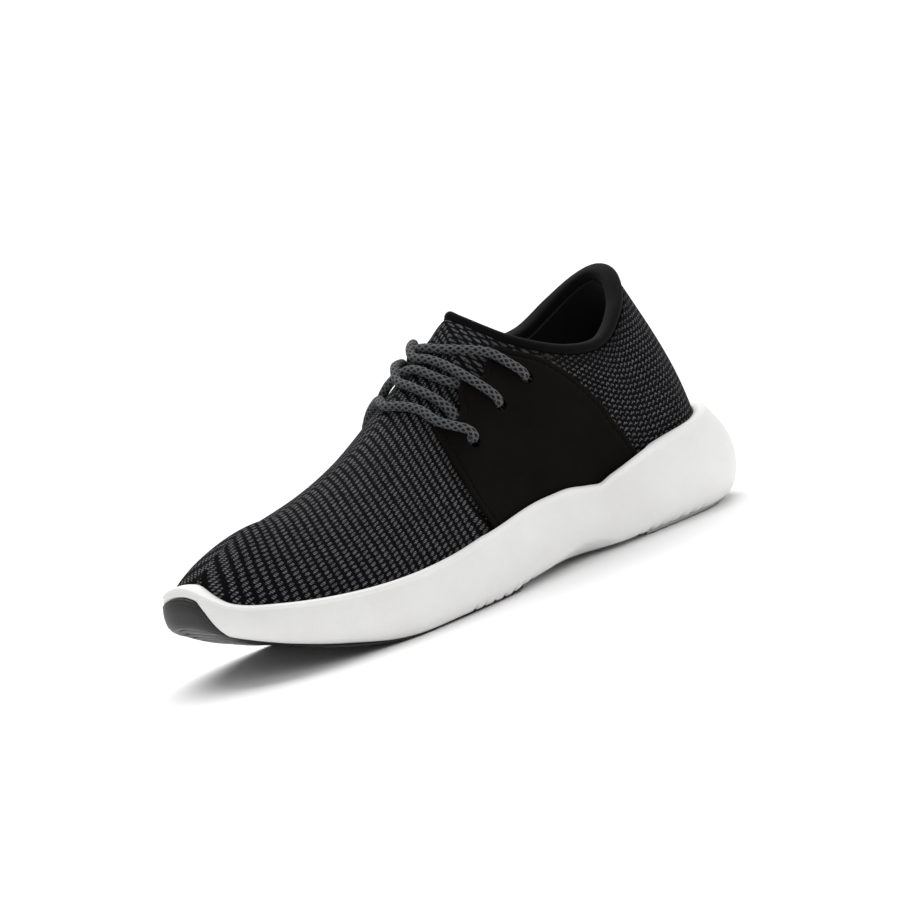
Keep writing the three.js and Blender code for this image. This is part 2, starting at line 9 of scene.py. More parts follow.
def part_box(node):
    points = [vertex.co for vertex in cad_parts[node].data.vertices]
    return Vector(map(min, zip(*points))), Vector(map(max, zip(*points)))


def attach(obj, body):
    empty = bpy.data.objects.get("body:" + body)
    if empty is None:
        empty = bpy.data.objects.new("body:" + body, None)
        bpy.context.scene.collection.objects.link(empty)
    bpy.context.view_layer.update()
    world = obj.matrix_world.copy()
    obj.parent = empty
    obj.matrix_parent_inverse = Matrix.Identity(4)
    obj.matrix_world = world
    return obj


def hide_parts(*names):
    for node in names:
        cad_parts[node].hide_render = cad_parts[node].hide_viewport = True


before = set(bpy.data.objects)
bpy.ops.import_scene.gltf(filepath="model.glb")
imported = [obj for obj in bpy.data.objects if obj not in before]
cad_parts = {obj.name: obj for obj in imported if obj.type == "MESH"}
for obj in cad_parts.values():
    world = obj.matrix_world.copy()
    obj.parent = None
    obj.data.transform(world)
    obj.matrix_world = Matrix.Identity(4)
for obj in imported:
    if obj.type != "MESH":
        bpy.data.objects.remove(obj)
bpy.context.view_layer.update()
print("frame loaded")

# Stations run from the middle of the heel along the outer side to the middle of the toe, in
# millimetres from the plumb line at the back of the heel: plan of the sole's rim on the outer and
# the inner side; heights of rim, floor and sole's underside; the collar edge or the instep ridge;
# how far the side rises and bulges off the floor; how it falls from the top; the sole's flare; and
# how much higher the inner collar is.
stationRows = [
    ((11, 0), (11, 0), 44, 26, 4.5, (34.8, 0, 109.4), 30, 2, (-7.3, 0, -22.2), 10, 0),
    ((15, 19), (15, -19), 42.6, 26.1, 2.4, (38.2, 13.5, 105.4), 30, 2, (-6.3, 4, -22.2), 9, 1),
    ((33, 34.5), (33, -33.5), 40.2, 25.6, 2, (49, 24.3, 95), 28, 2, (-3.4, 5, -20.1), 6, 4),
    ((64, 38.5), (64, -36), 37.1, 25.6, 2, (67.3, 29, 83.8), 26, 1, (0.6, 5, -20), 3, 7),
    ((100, 39), (100, -33), 30.2, 25.7, 2, (88.3, 27, 85.4), 26, 1, (4.6, 6, -19.9), 2, 6),
    ((134, 42), (134, -35), 33, 23.8, 3.8, (110, 18, 97.1), 28, 1, (8.6, 10, -17.8), 2, 2),
    ((166, 47.5), (166, -43), 29.8, 18.8, 2, (126.5, 0, 114.1), 34, 3, (8.2, 10, -5.8), 2, 0),
    ((196, 51), (196, -50), 26.4, 16.2, 2, (155, 0, 96.5), 28, 3, (3.1, 14, -1.9), 2, 0),
    ((224, 50.5), (224, -53.5), 25.6, 17.1, 2, (184.6, 0, 78.4), 22, 4, (0, 16, 0), 2, 0),
    ((250, 44), (250, -51.5), 27.1, 20.4, 6.2, (212.1, 0, 68), 17, 4, (0, 17, 0), 2, 0),
    ((273, 31), (274, -43), 30.6, 25.1, 13.2, (238.3, 0, 62), 14, 4, (6, 16, 0.2), 2, 0),
    ((287, 13), (288.5, -29), 35.1, 30.6, 20.3, (257.4, 0, 61.5), 11, 4, (12, 12, -2.6), 2, 0),
    ((291.5, -10), (291.5, -10), 45.2, 32.7, 26.5, (269.5, -1, 57.5), 9, 3, (13, 0, -4.6), 2, 0),
]
toe, tongue, around = 12, 6, 24  # where the toe and the tongue are, and how many stations
stationLong, sideTall = 26, 55  # rough millimetres per station and per side height
upperInset = 5


def sideRow(k):
    row, side = (stationRows[k], 1) if k <= toe else (stationRows[around - k], -1)
    plan = row[0] if side > 0 else row[1]
    fall = row[8]
    return [*plan, *row[2:5], row[6], row[7], fall[0], side * fall[1], fall[2], row[9]]


loopTable = np.array([sideRow(k) for k in range(around)], float)
# The inner side of the toe springs up more: its underside, its rim and its bulge
loopTable[13:16, 4] += (5.5, 6, 4)
loopTable[13:15, 2] += (6.5, 3)
loopTable[13:15, 6] += (4, 2)
tops = [np.array(row[5], float) for row in stationRows]
collarTable = np.array([*tops[:7], *[tops[k] * (1, -1, 1) + (0, 0, stationRows[k][10])
                                     for k in (5, 4, 3, 2, 1)]])
ridgeTable = np.array([2 * tops[6] - tops[7], *tops[6:], 2 * tops[12] - tops[11]])


def between(a, b, c, d, f):
    return (2 * b + (c - a) * f + (2 * a - 5 * b + 4 * c - d) * f ** 2
            + (3 * b - a - 3 * c + d) * f ** 3) / 2


def loopAt(q, rows):
    q = np.asarray(q, float)
    i = np.floor(q).astype(int)
    near = [rows[(i + step) % len(rows)] for step in (-1, 0, 1, 2)]
    return between(*near, (q - i)[..., None])


def ridgeAt(r):
    s = np.clip(np.asarray(r, float) - tongue, 0, toe - tongue)
    i = np.minimum(np.floor(s).astype(int), toe - tongue - 1)
    near = [ridgeTable[i + step] for step in (0, 1, 2, 3)]
    return between(*near, (s - i)[..., None])


def ease(x, a, b):
    f = np.clip((np.asarray(x, float) - a) / (b - a), 0, 1)
    return f * f * (3 - 2 * f)


def hump(x, middle, width):
    return np.exp(-((np.asarray(x, float) - middle) / width) ** 2)


def unit(v):
    return v / np.maximum(np.linalg.norm(v, axis=-1, keepdims=True), 1e-9)


# How far a place is from the heel, in stations, whichever side it is on.
def fromSide(q):
    w = np.mod(q, around)
    return np.minimum(w, around - w)


def runAlong(points):
    return np.concatenate([[0], np.cumsum(np.linalg.norm(np.diff(points, axis=0), axis=-1))])


def rim(q):
    xy = loopAt(q, loopTable)[..., :2]
    return np.concatenate([xy, np.zeros_like(xy[..., :1])], -1)


def away(q):
    run = unit(rim(q + 0.02) - rim(q - 0.02))
    return np.stack([-run[..., 1], run[..., 0], run[..., 2]], -1)


def topEdge(q):
    r = fromSide(q)
    onCollar = loopAt(np.where(np.mod(q, around) <= toe, r, 2 * tongue - r), collarTable)
    return np.where((r <= tongue)[..., None], onCollar, ridgeAt(r))


# The outside of the knit: t runs from the floor of the shoe to the collar edge or the ridge.
def skin(q, t):
    q, t = np.broadcast_arrays(np.asarray(q, float), np.asarray(t, float))
    row, out, up = loopAt(q, loopTable), away(q), np.array([0.0, 0, 1])
    inset = upperInset - 2.6 * hump(np.mod(q, around), 12.9, 0.9)
    foot = rim(q) - inset[..., None] * out + row[..., 3:4] * up
    low = foot + out * row[..., 6:7] + row[..., 5:6] * up
    top = topEdge(q)
    high = top + row[..., 7:10]
    t = t[..., None]
    s = 1 - t
    return foot * s ** 3 + 3 * low * s * s * t + 3 * high * s * t * t + top * t ** 3


def sideways(q, t):
    up = skin(q, np.minimum(t + 0.02, 1)) - skin(q, np.maximum(t - 0.02, 0))
    level = np.minimum(t, 0.96)
    return unit(np.cross(up, skin(q + 0.03, level) - skin(q - 0.03, level)))


# Straight out of the skin; across the ridge the two sides share one direction.
def outward(q, t):
    q, t = np.broadcast_arrays(np.asarray(q, float), np.asarray(t, float))
    share = (0.5 * ease(t, 0.86, 1) * ease(fromSide(q), 5.6, 6))[..., None]
    return unit(sideways(q, t) * (1 - share) + sideways(around - q, t) * share)


def over(q, t, height):
    height = np.asarray(height, float)
    return skin(q, t) + outward(q, t) * height[..., None]


def tAtHeight(q, z, height):
    q, z, height = np.broadcast_arrays(q, z, np.asarray(height, float))
    low, high = np.zeros(q.shape), np.full(q.shape, 0.6)
    for _ in range(22):
        mid = (low + high) / 2
        below = over(q, mid, height)[..., 2] < z
        low, high = np.where(below, mid, low), np.where(below, high, mid)
    return (low + high) / 2


# The sole's side wall: v runs from its bottom edge to its rim.
wallHeights = [0, 0.02, 0.06, 0.12, 0.2, 0.32, 0.45, 0.58, 0.7, 0.79, 0.86, 0.91, 0.95, 0.98, 1]
wallOffsets = [-4, -2.7, -1.6, -0.8, -0.4, -0.1, 0, -0.2, -0.6, -1.15, -1.65, -1.95, -1.8, -1.8,
               -2.3]


def lipAt(q):
    r = fromSide(q)
    return loopAt(q, loopTable)[..., 2] + 1.5 * hump(r, 4.45, 0.3) - 1.0 * hump(r, 3.93, 0.12)


def wall(q, v):
    q, v = np.broadcast_arrays(np.asarray(q, float), np.asarray(v, float))
    row = loopAt(q, loopTable)
    swell = np.sin(np.pi * np.minimum(1, 0.12 + 0.88 * v)) ** 0.8
    spread = np.interp(v, wallHeights, wallOffsets) + 2 + (row[..., 10] - 2) * swell
    p = rim(q) + away(q) * spread[..., None]
    p[..., 2] = row[..., 4] + v * (lipAt(q) - row[..., 4])
    return p


# The sole's side wall with what the moulding adds: a recess for the toe bumper, a scoop under the
# outer arch, teeth where the tread grooves come out and a thin skirt outside the tread.
soleDetail = dict(bumperTop=0.76, recess=1.7, scoopHigh=0.2, skirt=0.9, toothPitch=6.3,
                  toothDeep=1.1, rimProud=0.6)


def climbAt(q):
    w = np.mod(q, around)
    return soleDetail["bumperTop"] * ease(w, 11.08, 11.74) * (1 - ease(w, 13.3, 13.9))


def soleWall(q, v):
    q, v = np.broadcast_arrays(np.asarray(q, float), np.asarray(v, float))
    w, r = np.mod(q, around), fromSide(q)
    p, out = wall(q, v), away(q)
    tall = lipAt(q) - loopAt(q, loopTable)[..., 4]
    climb = climbAt(q)
    inward = soleDetail["recess"] * ease(climb + 0.05 - v, 0, 0.05) * ease(climb, 0.03, 0.15)
    crease = soleDetail["scoopHigh"] * ease(w, 3.7, 4.3) * (1 - ease(w, 4.35, 5.35))
    inward = inward + np.maximum(crease - v, 0) * tall * 1.1
    inward = inward - soleDetail["rimProud"] * hump(r, 3.45, 0.4) * ease(v, 0.92, 1)
    foot = 1 - ease(v, 0, 0.08)
    p[..., 2] -= soleDetail["skirt"] * foot * ease(r, 5.6, 6) * (1 - ease(r, 8.2, 9.2))
    tooth = np.mod(p[..., 0] / soleDetail["toothPitch"], 1)
    rows = ease(w, 5.35, 5.5) * (1 - ease(w, 6.85, 7.0)) + 0.8 * ease(w, 2.2, 2.4) * (
        1 - ease(w, 3.5, 3.7))
    p[..., 2] += soleDetail["toothDeep"] * foot * rows * (1 - ease(tooth, 0.0, 0.45)) ** 1.5
    inward = inward + 0.7 * foot * rows * (1 - ease(tooth, 0, 0.3))
    return p - out * inward[..., None]


# Placing: the part's own frame is this one moved in plan, so that the midsole's box agrees.
coarse = np.concatenate([wall(np.arange(72) / 3, v) for v in (0, 0.06, 0.2, 0.45, 0.7)])
frameShift = np.array([*(np.array(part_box("midsole")[0])[:2] * 1000 - coarse.min(axis=0)[:2]), 0])
print("frame shift in mm", np.round(frameShift, 2))


def toFrame(points):
    return (np.asarray(points, float) + frameShift) / 1000


# The camera stands at the outer side, turned towards the toe, and is rolled so the heel is high.
cameraFacts = dict(towardToe=37.82, elevation=8.4, roll=15.02, distance=3.014, lens=279.6,
                   target=(146.94, 0, 51.23), shift=(0.00222, 0.02556))


def addCamera(facts):
    turn, lift, roll = (math.radians(facts[k]) for k in ("towardToe", "elevation", "roll"))
    back = Vector((math.sin(turn) * math.cos(lift), math.cos(turn) * math.cos(lift),
                   math.sin(lift)))
    level = Vector((0, 0, 1)).cross(back).normalized()
    upright = back.cross(level)
    right = level * math.cos(roll) - upright * math.sin(roll)
    up = level * math.sin(roll) + upright * math.cos(roll)
    camera = bpy.data.objects.new("camera", bpy.data.cameras.new("camera"))
    bpy.context.collection.objects.link(camera)
    target = Vector(toFrame(facts["target"]))
    turned = Matrix((right, up, back)).transposed().to_4x4()
    camera.matrix_world = Matrix.Translation(target + back * facts["distance"]) @ turned
    camera.data.sensor_width = 36
    camera.data.lens = facts["lens"]
    camera.data.shift_x, camera.data.shift_y = facts["shift"]
    camera.data.clip_end = 50
    bpy.context.scene.camera = camera


addCamera(cameraFacts)
print("camera ready")


# One closed mesh from grids of points in millimetres; each grid brings one place on the cloth, in
# millimetres, per named map.
def makeMesh(name, grids, maps=("cloth",)):
    points, faces, places, start = [], [], [], 0
    for grid, uv in grids:
        rows, columns = grid.shape[:2]
        index = start + np.arange(rows * columns).reshape(rows, columns)
        quads = np.stack([index[:-1, :-1], index[1:, :-1], index[1:, 1:], index[:-1, 1:]], -1)
        faces.append(quads.reshape(-1, 4))
        points.append(grid.reshape(-1, 3))
        uv = np.zeros((rows, columns, len(maps), 2)) if uv is None else uv
        places.append(uv.reshape(-1, len(maps), 2))
        start += rows * columns
    points, faces, places = map(np.concatenate, (points, faces, places))
    mesh = bpy.data.meshes.new(name)
    mesh.from_pydata(toFrame(points), [], faces.tolist())
    corner = np.empty(len(mesh.loops), int)
    mesh.loops.foreach_get("vertex_index", corner)
    for k, key in enumerate(maps):
        layer = mesh.uv_layers.new(name=key)
        layer.data.foreach_set("uv", places[corner, k].astype(np.float32).ravel())
    made = bmesh.new()
    made.from_mesh(mesh)
    bmesh.ops.remove_doubles(made, verts=made.verts, dist=2e-6)
    bmesh.ops.dissolve_degenerate(made, dist=1e-7, edges=made.edges)
    bmesh.ops.recalc_face_normals(made, faces=made.faces)
    for face in made.faces:
        face.smooth = True
    openEdges = sum(1 for edge in made.edges if not edge.is_manifold)
    made.to_mesh(mesh)
    made.free()
    piece = bpy.data.objects.new(name, mesh)
    bpy.context.collection.objects.link(piece)
    print(name, len(mesh.polygons), "faces,", openEdges, "open edges")
    return piece


def gridOf(points, *uvs):
    uv = np.stack([np.stack(np.broadcast_arrays(*pair), -1) for pair in uvs], -2) if uvs else None
    return points, uv


# The rims that close a sheet between its outer and its inner grid.
def closing(outer, inner, sides=("first", "last", "low", "high")):
    cut = dict(first=np.s_[0], last=np.s_[-1], low=np.s_[:, 0], high=np.s_[:, -1])
    made = []
    for side in sides:
        pair = np.stack([outer[0][cut[side]], inner[0][cut[side]]])
        uv = None if outer[1] is None else np.stack([outer[1][cut[side]], inner[1][cut[side]]])
        made.append((pair, uv))
    return made


# The two strips that close a sheet along the collar's edge, one for each side of the shoe.
def collarRims(q, outside, inside):
    made = []
    for part in (q <= tongue + 1e-6, q >= around - tongue - 1e-6):
        pair, uv = (np.stack([outside[k][part, -1], inside[k][part, -1]]) for k in (0, 1))
        made.append((pair, uv))
    return made


# A solid from rings of points, capped by ladders between its two sides.
def ringsToGrids(rings, across=(12, 4)):
    stack = np.stack(rings)
    count = stack.shape[1] - 1
    run = runAlong(stack[1])
    rise = np.concatenate([np.zeros((1, count + 1)), np.cumsum(np.linalg.norm(
        np.diff(stack, axis=0), axis=-1), axis=0)])
    grids = [gridOf(stack, (np.broadcast_to(run, rise.shape), rise))]
    for ring, steps in ((rings[0], across[0]), (rings[-1], across[1])):
        half = count // 2
        left, right = ring[:half + 1], ring[count - half:][::-1]
        share = np.linspace(0, 1, steps + 1)[None, :, None]
        cap = left[:, None] * (1 - share) + right[:, None] * share
        grids.append(gridOf(cap, (cap[..., 0], cap[..., 1])))
    return grids


def finishPiece(piece, body, slotName, material, *nodes):
    piece.data.materials.clear()
    piece.data.materials.append(material)
    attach(piece, body)
    if nodes:
        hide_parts(*nodes)
    return piece


def applyModifier(piece, kind, **settings):
    bpy.ops.object.select_all(action="DESELECT")
    bpy.context.view_layer.objects.active = piece
    piece.select_set(True)
    modifier = piece.modifiers.new(kind.lower(), kind)
    for key, value in settings.items():
        setattr(modifier, key, value)
    bpy.ops.object.modifier_apply(modifier=modifier.name)
    piece.select_set(False)


def linear(code):
    parts = [int(code[i:i + 2], 16) / 255 for i in (1, 3, 5)]
    return (*[c / 12.92 if c <= 0.04045 else ((c + 0.055) / 1.055) ** 2.4 for c in parts], 1)


# Adds a node: how gives its operation or its settings, and inputs are values, colour codes or
# other outputs.
def addNode(tree, kind, how=None, **inputs):
    node = tree.nodes.new("ShaderNode" + kind)
    for key, value in (dict(operation=how) if isinstance(how, str) else how or {}).items():
        setattr(node, key, value)
    for key, value in inputs.items():
        socket = node.inputs[int(key[1:]) if key[1:].isdigit() else key.replace("_", " ")]
        if isinstance(value, bpy.types.NodeSocket):
            tree.links.new(value, socket)
        else:
            socket.default_value = linear(value) if isinstance(value, str) else value
    return node


# A material with constants on its shader, and the two calls that draw it.
def newMaterial(name, **surface):
    material = bpy.data.materials.new(name)
    material.use_nodes = True
    tree = material.node_tree
    shader = tree.nodes["Principled BSDF"]
    for key, value in surface.items():
        shader.inputs[key.replace("_", " ")].default_value = value

    def put(kind, how=None, **inputs):
        node = addNode(tree, kind, how, **inputs)
        return next(socket for socket in node.outputs if socket.enabled)

    def lead(socket, key):
        tree.links.new(socket, shader.inputs[key])

    return material, put, lead


blend = dict(data_type="RGBA")  # settings for mixing two colours, given as inputs 6 and 7
knitLook = dict(base="#060607", weft="#121214", yarn="#7e7e81", frontPitch=(3.9, 2.7),
                rearPitch=(2.7, 2.5), raised=0.35)


# Flat-knit polyester: black ground stitches with clusters of grey melange yarn floated over them,
# in staggered cross columns in front and as small chevrons behind. Reads as dark heather.
def knitMaterial(look):
    material, put, lead = newMaterial("flatKnitPolyester", Roughness=0.92, IOR=1.46,
                                      Specular_IOR_Level=0.06, Sheen_Weight=0.01,
                                      Sheen_Roughness=0.5)

    def cells(mapName, pitch, wide, tall, arc):
        place = put("UVMap", dict(uv_map=mapName))
        parts = put("SeparateXYZ", Vector=place).node.outputs
        u = put("Math", "DIVIDE", i0=parts[0], i1=pitch[0])
        odd = put("Math", "MULTIPLY", i0=put("Math", "MODULO", i0=put("Math", "FLOOR", i0=put(
            "Math", "ADD", i0=u, i1=200.0)), i1=2.0), i1=0.5)
        v = put("Math", "ADD", i0=put("Math", "DIVIDE", i0=parts[1], i1=pitch[1]), i1=odd)
        wobble = put("TexNoise", dict(noise_dimensions="2D"), Vector=place, Scale=0.55,
                     Detail=2.0, Roughness=0.6)
        shift = put("Math", "MULTIPLY", i0=put("Math", "SUBTRACT", i0=wobble, i1=0.5), i1=0.35)
        a = put("Math", "SUBTRACT", i0=put("Math", "FRACT", i0=put(
            "Math", "ADD", i0=u, i1=shift)), i1=0.5)
        bend = put("Math", "MULTIPLY", i0=put("Math", "ABSOLUTE", i0=a), i1=arc)
        b = put("Math", "SUBTRACT", i0=put("Math", "FRACT", i0=put("Math", "ADD", i0=put(
            "Math", "ADD", i0=v, i1=bend), i1=shift)), i1=0.5)
        far = put("Math", "ADD", i0=put("Math", "POWER", i0=put("Math", "ABSOLUTE", i0=put(
            "Math", "DIVIDE", i0=a, i1=wide)), i1=2.2), i1=put("Math", "POWER", i0=put(
                "Math", "ABSOLUTE", i0=put("Math", "DIVIDE", i0=b, i1=tall)), i1=2.2))
        blob = put("MapRange", dict(interpolation_type="SMOOTHSTEP"), Value=far, i1=1.35, i2=0.55,
                   i3=0.0, i4=1.0)
        loops = put("Math", "SINE", i0=put("Math", "MULTIPLY", i0=put(
            "Math", "ADD", i0=parts[0], i1=put("Math", "MULTIPLY", i0=parts[1], i1=0.5)),
            i1=2 * math.pi / 0.85))
        broken = put("MapRange", Value=loops, i1=-0.5, i2=0.5, i3=0.12, i4=1.0)
        return put("Math", "MULTIPLY", i0=blob, i1=broken)

    front = cells("front", look["frontPitch"], 0.33, 0.33, 0.0)
    rear = cells("rear", look["rearPitch"], 0.42, 0.2, -0.7)
    zone = put("SeparateXYZ", Vector=put("UVMap", dict(uv_map="zone"))).node.outputs
    light = put("Mix", dict(data_type="FLOAT"), Factor=zone[0], i2=rear, i3=front)
    light = put("Math", "MULTIPLY", i0=light, i1=zone[1])
    place = put("UVMap", dict(uv_map="front"))
    parts = put("SeparateXYZ", Vector=place).node.outputs
    ribs = put("Math", "SINE", i0=put("Math", "MULTIPLY", i0=parts[1], i1=2 * math.pi / 1.2))
    wales = put("Math", "SINE", i0=put("Math", "MULTIPLY", i0=parts[0], i1=2 * math.pi / 1.2))
    ground = put("MapRange", Value=put("Math", "MULTIPLY", i0=ribs, i1=wales), i1=-0.7, i2=1.0,
                 i3=0.0, i4=1.0)
    melange = put("TexNoise", Vector=put("TexCoord").node.outputs["Object"], Scale=900.0,
                  Detail=2.0)
    share = put("MapRange", Value=melange, i1=0.3, i2=0.6, i3=0.3, i4=1.0)
    yarn = put("Mix", blend, Factor=share, i6=look["weft"], i7=look["yarn"])
    under = put("Mix", blend, Factor=ground, i6=look["base"], i7=look["weft"])
    lead(put("Mix", blend, Factor=light, i6=under, i7=yarn), "Base Color")
    height = put("Math", "ADD", i0=light, i1=put("Math", "MULTIPLY", i0=ground, i1=0.3))
    lead(put("Bump", Strength=0.7, Distance=look["raised"] / 1000, Height=height), "Normal")
    return material


# Plain materials whose pattern is noise at one or two real sizes: name, two colours, how large
# the mottling is, how coarse the grain is and how deep it is, in millimetres.
def grainMaterial(name, dark, light, mottle, grain, deep, **surface):
    material, put, lead = newMaterial(name, **surface)
    place = put("TexCoord").node.outputs["Object"]
    broad = put("TexNoise", Vector=place, Scale=1000 / mottle, Detail=3.0, Roughness=0.6)
    fine = put("TexNoise", Vector=place, Scale=1000 / grain, Detail=3.0, Roughness=0.55)
    share = put("MapRange", Value=put("Math", "ADD", i0=broad, i1=put(
        "Math", "MULTIPLY", i0=fine, i1=0.5)), i1=0.45, i2=1.05, i3=0.0, i4=1.0)
    lead(put("Mix", blend, Factor=share, i6=dark, i7=light), "Base Color")
    rough = surface.get("Roughness", 0.5)
    lead(put("MapRange", Value=fine, i1=0.3, i2=0.7, i3=rough - 0.06, i4=rough + 0.06),
         "Roughness")
    lead(put("Bump", Strength=0.6, Distance=deep / 1000, Height=fine), "Normal")
    return material


# Woven or ribbed cloth drawn on a piece's own map: rib spacing along and across in millimetres.
def clothMaterial(name, dark, light, along, across, deep, **surface):
    material, put, lead = newMaterial(name, **surface)
    parts = put("SeparateXYZ", Vector=put("UVMap", dict(uv_map="cloth"))).node.outputs
    waves = []
    for k, pitch in ((0, along), (1, across)):
        waves.append(put("Math", "SINE", i0=put(
            "Math", "MULTIPLY", i0=parts[k], i1=2 * math.pi / pitch)))
    weave = put("MapRange", Value=put("Math", "ADD", i0=waves[0], i1=waves[1]), i1=-2.0, i2=2.0,
                i3=0.0, i4=1.0)
    fuzz = put("TexNoise", Vector=put("TexCoord").node.outputs["Object"], Scale=600.0, Detail=3.0)
    share = put("Math", "MULTIPLY", i0=weave, i1=put("Math", "ADD", i0=fuzz, i1=0.35))
    lead(put("Mix", blend, Factor=share, i6=dark, i7=light), "Base Color")
    lead(put("Bump", Strength=0.7, Distance=deep / 1000, Height=share), "Normal")
    return material


laceLook = dict(core="#070708", netDark="#3c3d40", net="#6b6c6f", cell=3.5, turns=5)


# Round braided polyester lace: a grey diamond net over black. The net stands proud of the core.
def laceMaterial(look):
    material, put, lead = newMaterial("braidedPolyesterLace", Roughness=0.8,
                                      Specular_IOR_Level=0.25, Sheen_Weight=0.1)
    parts = put("SeparateXYZ", Vector=put("UVMap", dict(uv_map="cloth"))).node.outputs
    lines = []
    for sign in (1.0, -1.0):
        turn = put("Math", "ADD", i0=put("Math", "MULTIPLY", i0=parts[0], i1=float(look["turns"])),
                   i1=put("Math", "MULTIPLY", i0=parts[1], i1=sign / look["cell"]))
        wave = put("Math", "ABSOLUTE", i0=put("Math", "SUBTRACT", i0=put(
            "Math", "FRACT", i0=turn), i1=0.5))
        lines.append(put("MapRange", dict(interpolation_type="SMOOTHSTEP"), Value=wave, i1=0.25,
                         i2=0.12, i3=0.0, i4=1.0))
    net = put("Math", "MAXIMUM", i0=lines[0], i1=lines[1])
    fuzz = put("TexNoise", Vector=put("TexCoord").node.outputs["Object"], Scale=1400.0, Detail=2.0)
    strands = put("Mix", blend, Factor=fuzz, i6=look["netDark"], i7=look["net"])
    lead(put("Mix", blend, Factor=net, i6=look["core"], i7=strands), "Base Color")
    lead(put("Bump", Strength=0.8, Distance=0.0004, Height=put("Math", "ADD", i0=net, i1=put(
        "Math", "MULTIPLY", i0=fuzz, i1=0.3))), "Normal")
    return material


# The colour given for the needle holes is painted shade, darker than the hide.
panelLook = dict(dark="#060504", light="#0f0c0a", paintedShadeHole="#040404", stitchPitch=3.1, stitchIn=3.0)


# Nubuck microfibre: brown-black, brushed nap that goes lighter in cloudy patches, with a sunk row
# of needle holes along the rear edge, which are painted darker as painted shade in the holes.
def panelMaterial(look):
    material, put, lead = newMaterial("brushedNubuckMicrofibre", Roughness=0.86, IOR=1.45,
                                      Specular_IOR_Level=0.1, Sheen_Weight=0.03,
                                      Sheen_Roughness=0.45, Sheen_Tint=linear("#6b5f52"))
    place = put("TexCoord").node.outputs["Object"]
    cloud = put("TexNoise", Vector=place, Scale=45.0, Detail=3.0, Roughness=0.6)
    nap = put("TexNoise", Vector=place, Scale=1500.0, Detail=3.0, Roughness=0.6)
    share = put("MapRange", Value=put("Math", "ADD", i0=cloud, i1=put(
        "Math", "MULTIPLY", i0=nap, i1=0.35)), i1=0.45, i2=0.9, i3=0.0, i4=1.0)
    parts = put("SeparateXYZ", Vector=put("UVMap", dict(uv_map="cloth"))).node.outputs
    along = put("Math", "MULTIPLY", i0=put("Math", "ABSOLUTE", i0=put("Math", "SUBTRACT", i0=put(
        "Math", "FRACT", i0=put("Math", "DIVIDE", i0=parts[0], i1=look["stitchPitch"])),
        i1=0.5)), i1=look["stitchPitch"])
    off = put("Math", "ABSOLUTE", i0=put("Math", "SUBTRACT", i0=parts[1], i1=look["stitchIn"]))
    reach = put("Math", "SQRT", i0=put("Math", "ADD", i0=put("Math", "POWER", i0=along, i1=2.0),
                                       i1=put("Math", "POWER", i0=off, i1=2.0)))
    # Where the needle holes are: their colour there is painted shade, their height a dip in the
    # bump.
    paintedShadeHole = put("MapRange", dict(interpolation_type="SMOOTHSTEP"), Value=reach, i1=0.8, i2=0.4,
               i3=0.0, i4=1.0)
    sunk = put("MapRange", dict(interpolation_type="SMOOTHSTEP"), Value=off, i1=0.9, i2=0.0,
               i3=0.0, i4=1.0)
    hide = put("Mix", blend, Factor=share, i6=look["dark"], i7=look["light"])
    # Painted shade: the needle holes take the darker colour.
    lead(put("Mix", blend, Factor=paintedShadeHole, i6=hide, i7=look["paintedShadeHole"]), "Base Color")
    height = put("Math", "SUBTRACT", i0=put("Math", "MULTIPLY", i0=nap, i1=0.25), i1=put(
        "Math", "ADD", i0=paintedShadeHole, i1=put("Math", "MULTIPLY", i0=sunk, i1=0.8)))
    lead(put("Bump", Strength=0.7, Distance=0.0004, Height=height), "Normal")
    return material


looks = dict(
    knit=knitMaterial(knitLook),
    panel=panelMaterial(panelLook),
    lace=laceMaterial(laceLook),
    # Moulded EVA foam: bright white and nearly matt, with a faint skin grain
    midsole=grainMaterial("mouldedEvaFoam", "#ecebea", "#f6f6f5", 30, 0.8, 0.04, Roughness=0.5,
                          IOR=1.48, Specular_IOR_Level=0.4),
    # Moulded carbon rubber: dark grey with a soft shine and fine mould grain
    tread=grainMaterial("mouldedCarbonRubber", "#09090a", "#141416", 12, 0.5, 0.06,
                        Roughness=0.5, IOR=1.52),
    # White moulded rubber: a touch greyer and glossier than the foam
    heelTread=grainMaterial("mouldedWhiteRubber", "#dfdedc", "#efeeec", 20, 0.6, 0.05,
                            Roughness=0.42, IOR=1.52),
    # Ribbed stretch tape: charcoal with fine ribs across its length
    tape=clothMaterial("ribbedStretchTape", "#050506", "#151517", 0.9, 5.0, 0.12, Roughness=0.85,
                       Specular_IOR_Level=0.1, Sheen_Weight=0.04, Sheen_Roughness=0.4),
    # Warp-knit lining: black and dull
    lining=clothMaterial("warpKnitLining", "#040405", "#101012", 1.1, 1.1, 0.15, Roughness=0.95,
                         Specular_IOR_Level=0.15, Sheen_Weight=0.08),
    # Brushed polyester on the insole: near-black weave
    insoleTop=clothMaterial("brushedPolyesterCover", "#0b0b0d", "#232327", 0.8, 0.8, 0.1,
                            Roughness=0.93, Specular_IOR_Level=0.15, Sheen_Weight=0.12),
    # Open-cell polyurethane foam: grey, dull and porous
    padding=grainMaterial("openCellFoam", "#2c2c30", "#4a4a4f", 6, 0.6, 0.2, Roughness=0.95,
                          Specular_IOR_Level=0.1),
    # Non-woven fibre board: pale, felted
    board=grainMaterial("nonWovenBoard", "#a39c8b", "#c9c2b1", 8, 0.5, 0.1, Roughness=0.92),
    # Thermoplastic stiffener sheet: black with a soft sheen
    stiffener=grainMaterial("thermoplasticSheet", "#101012", "#1e1e21", 10, 0.6, 0.04,
                            Roughness=0.45),
)
print("materials ready")


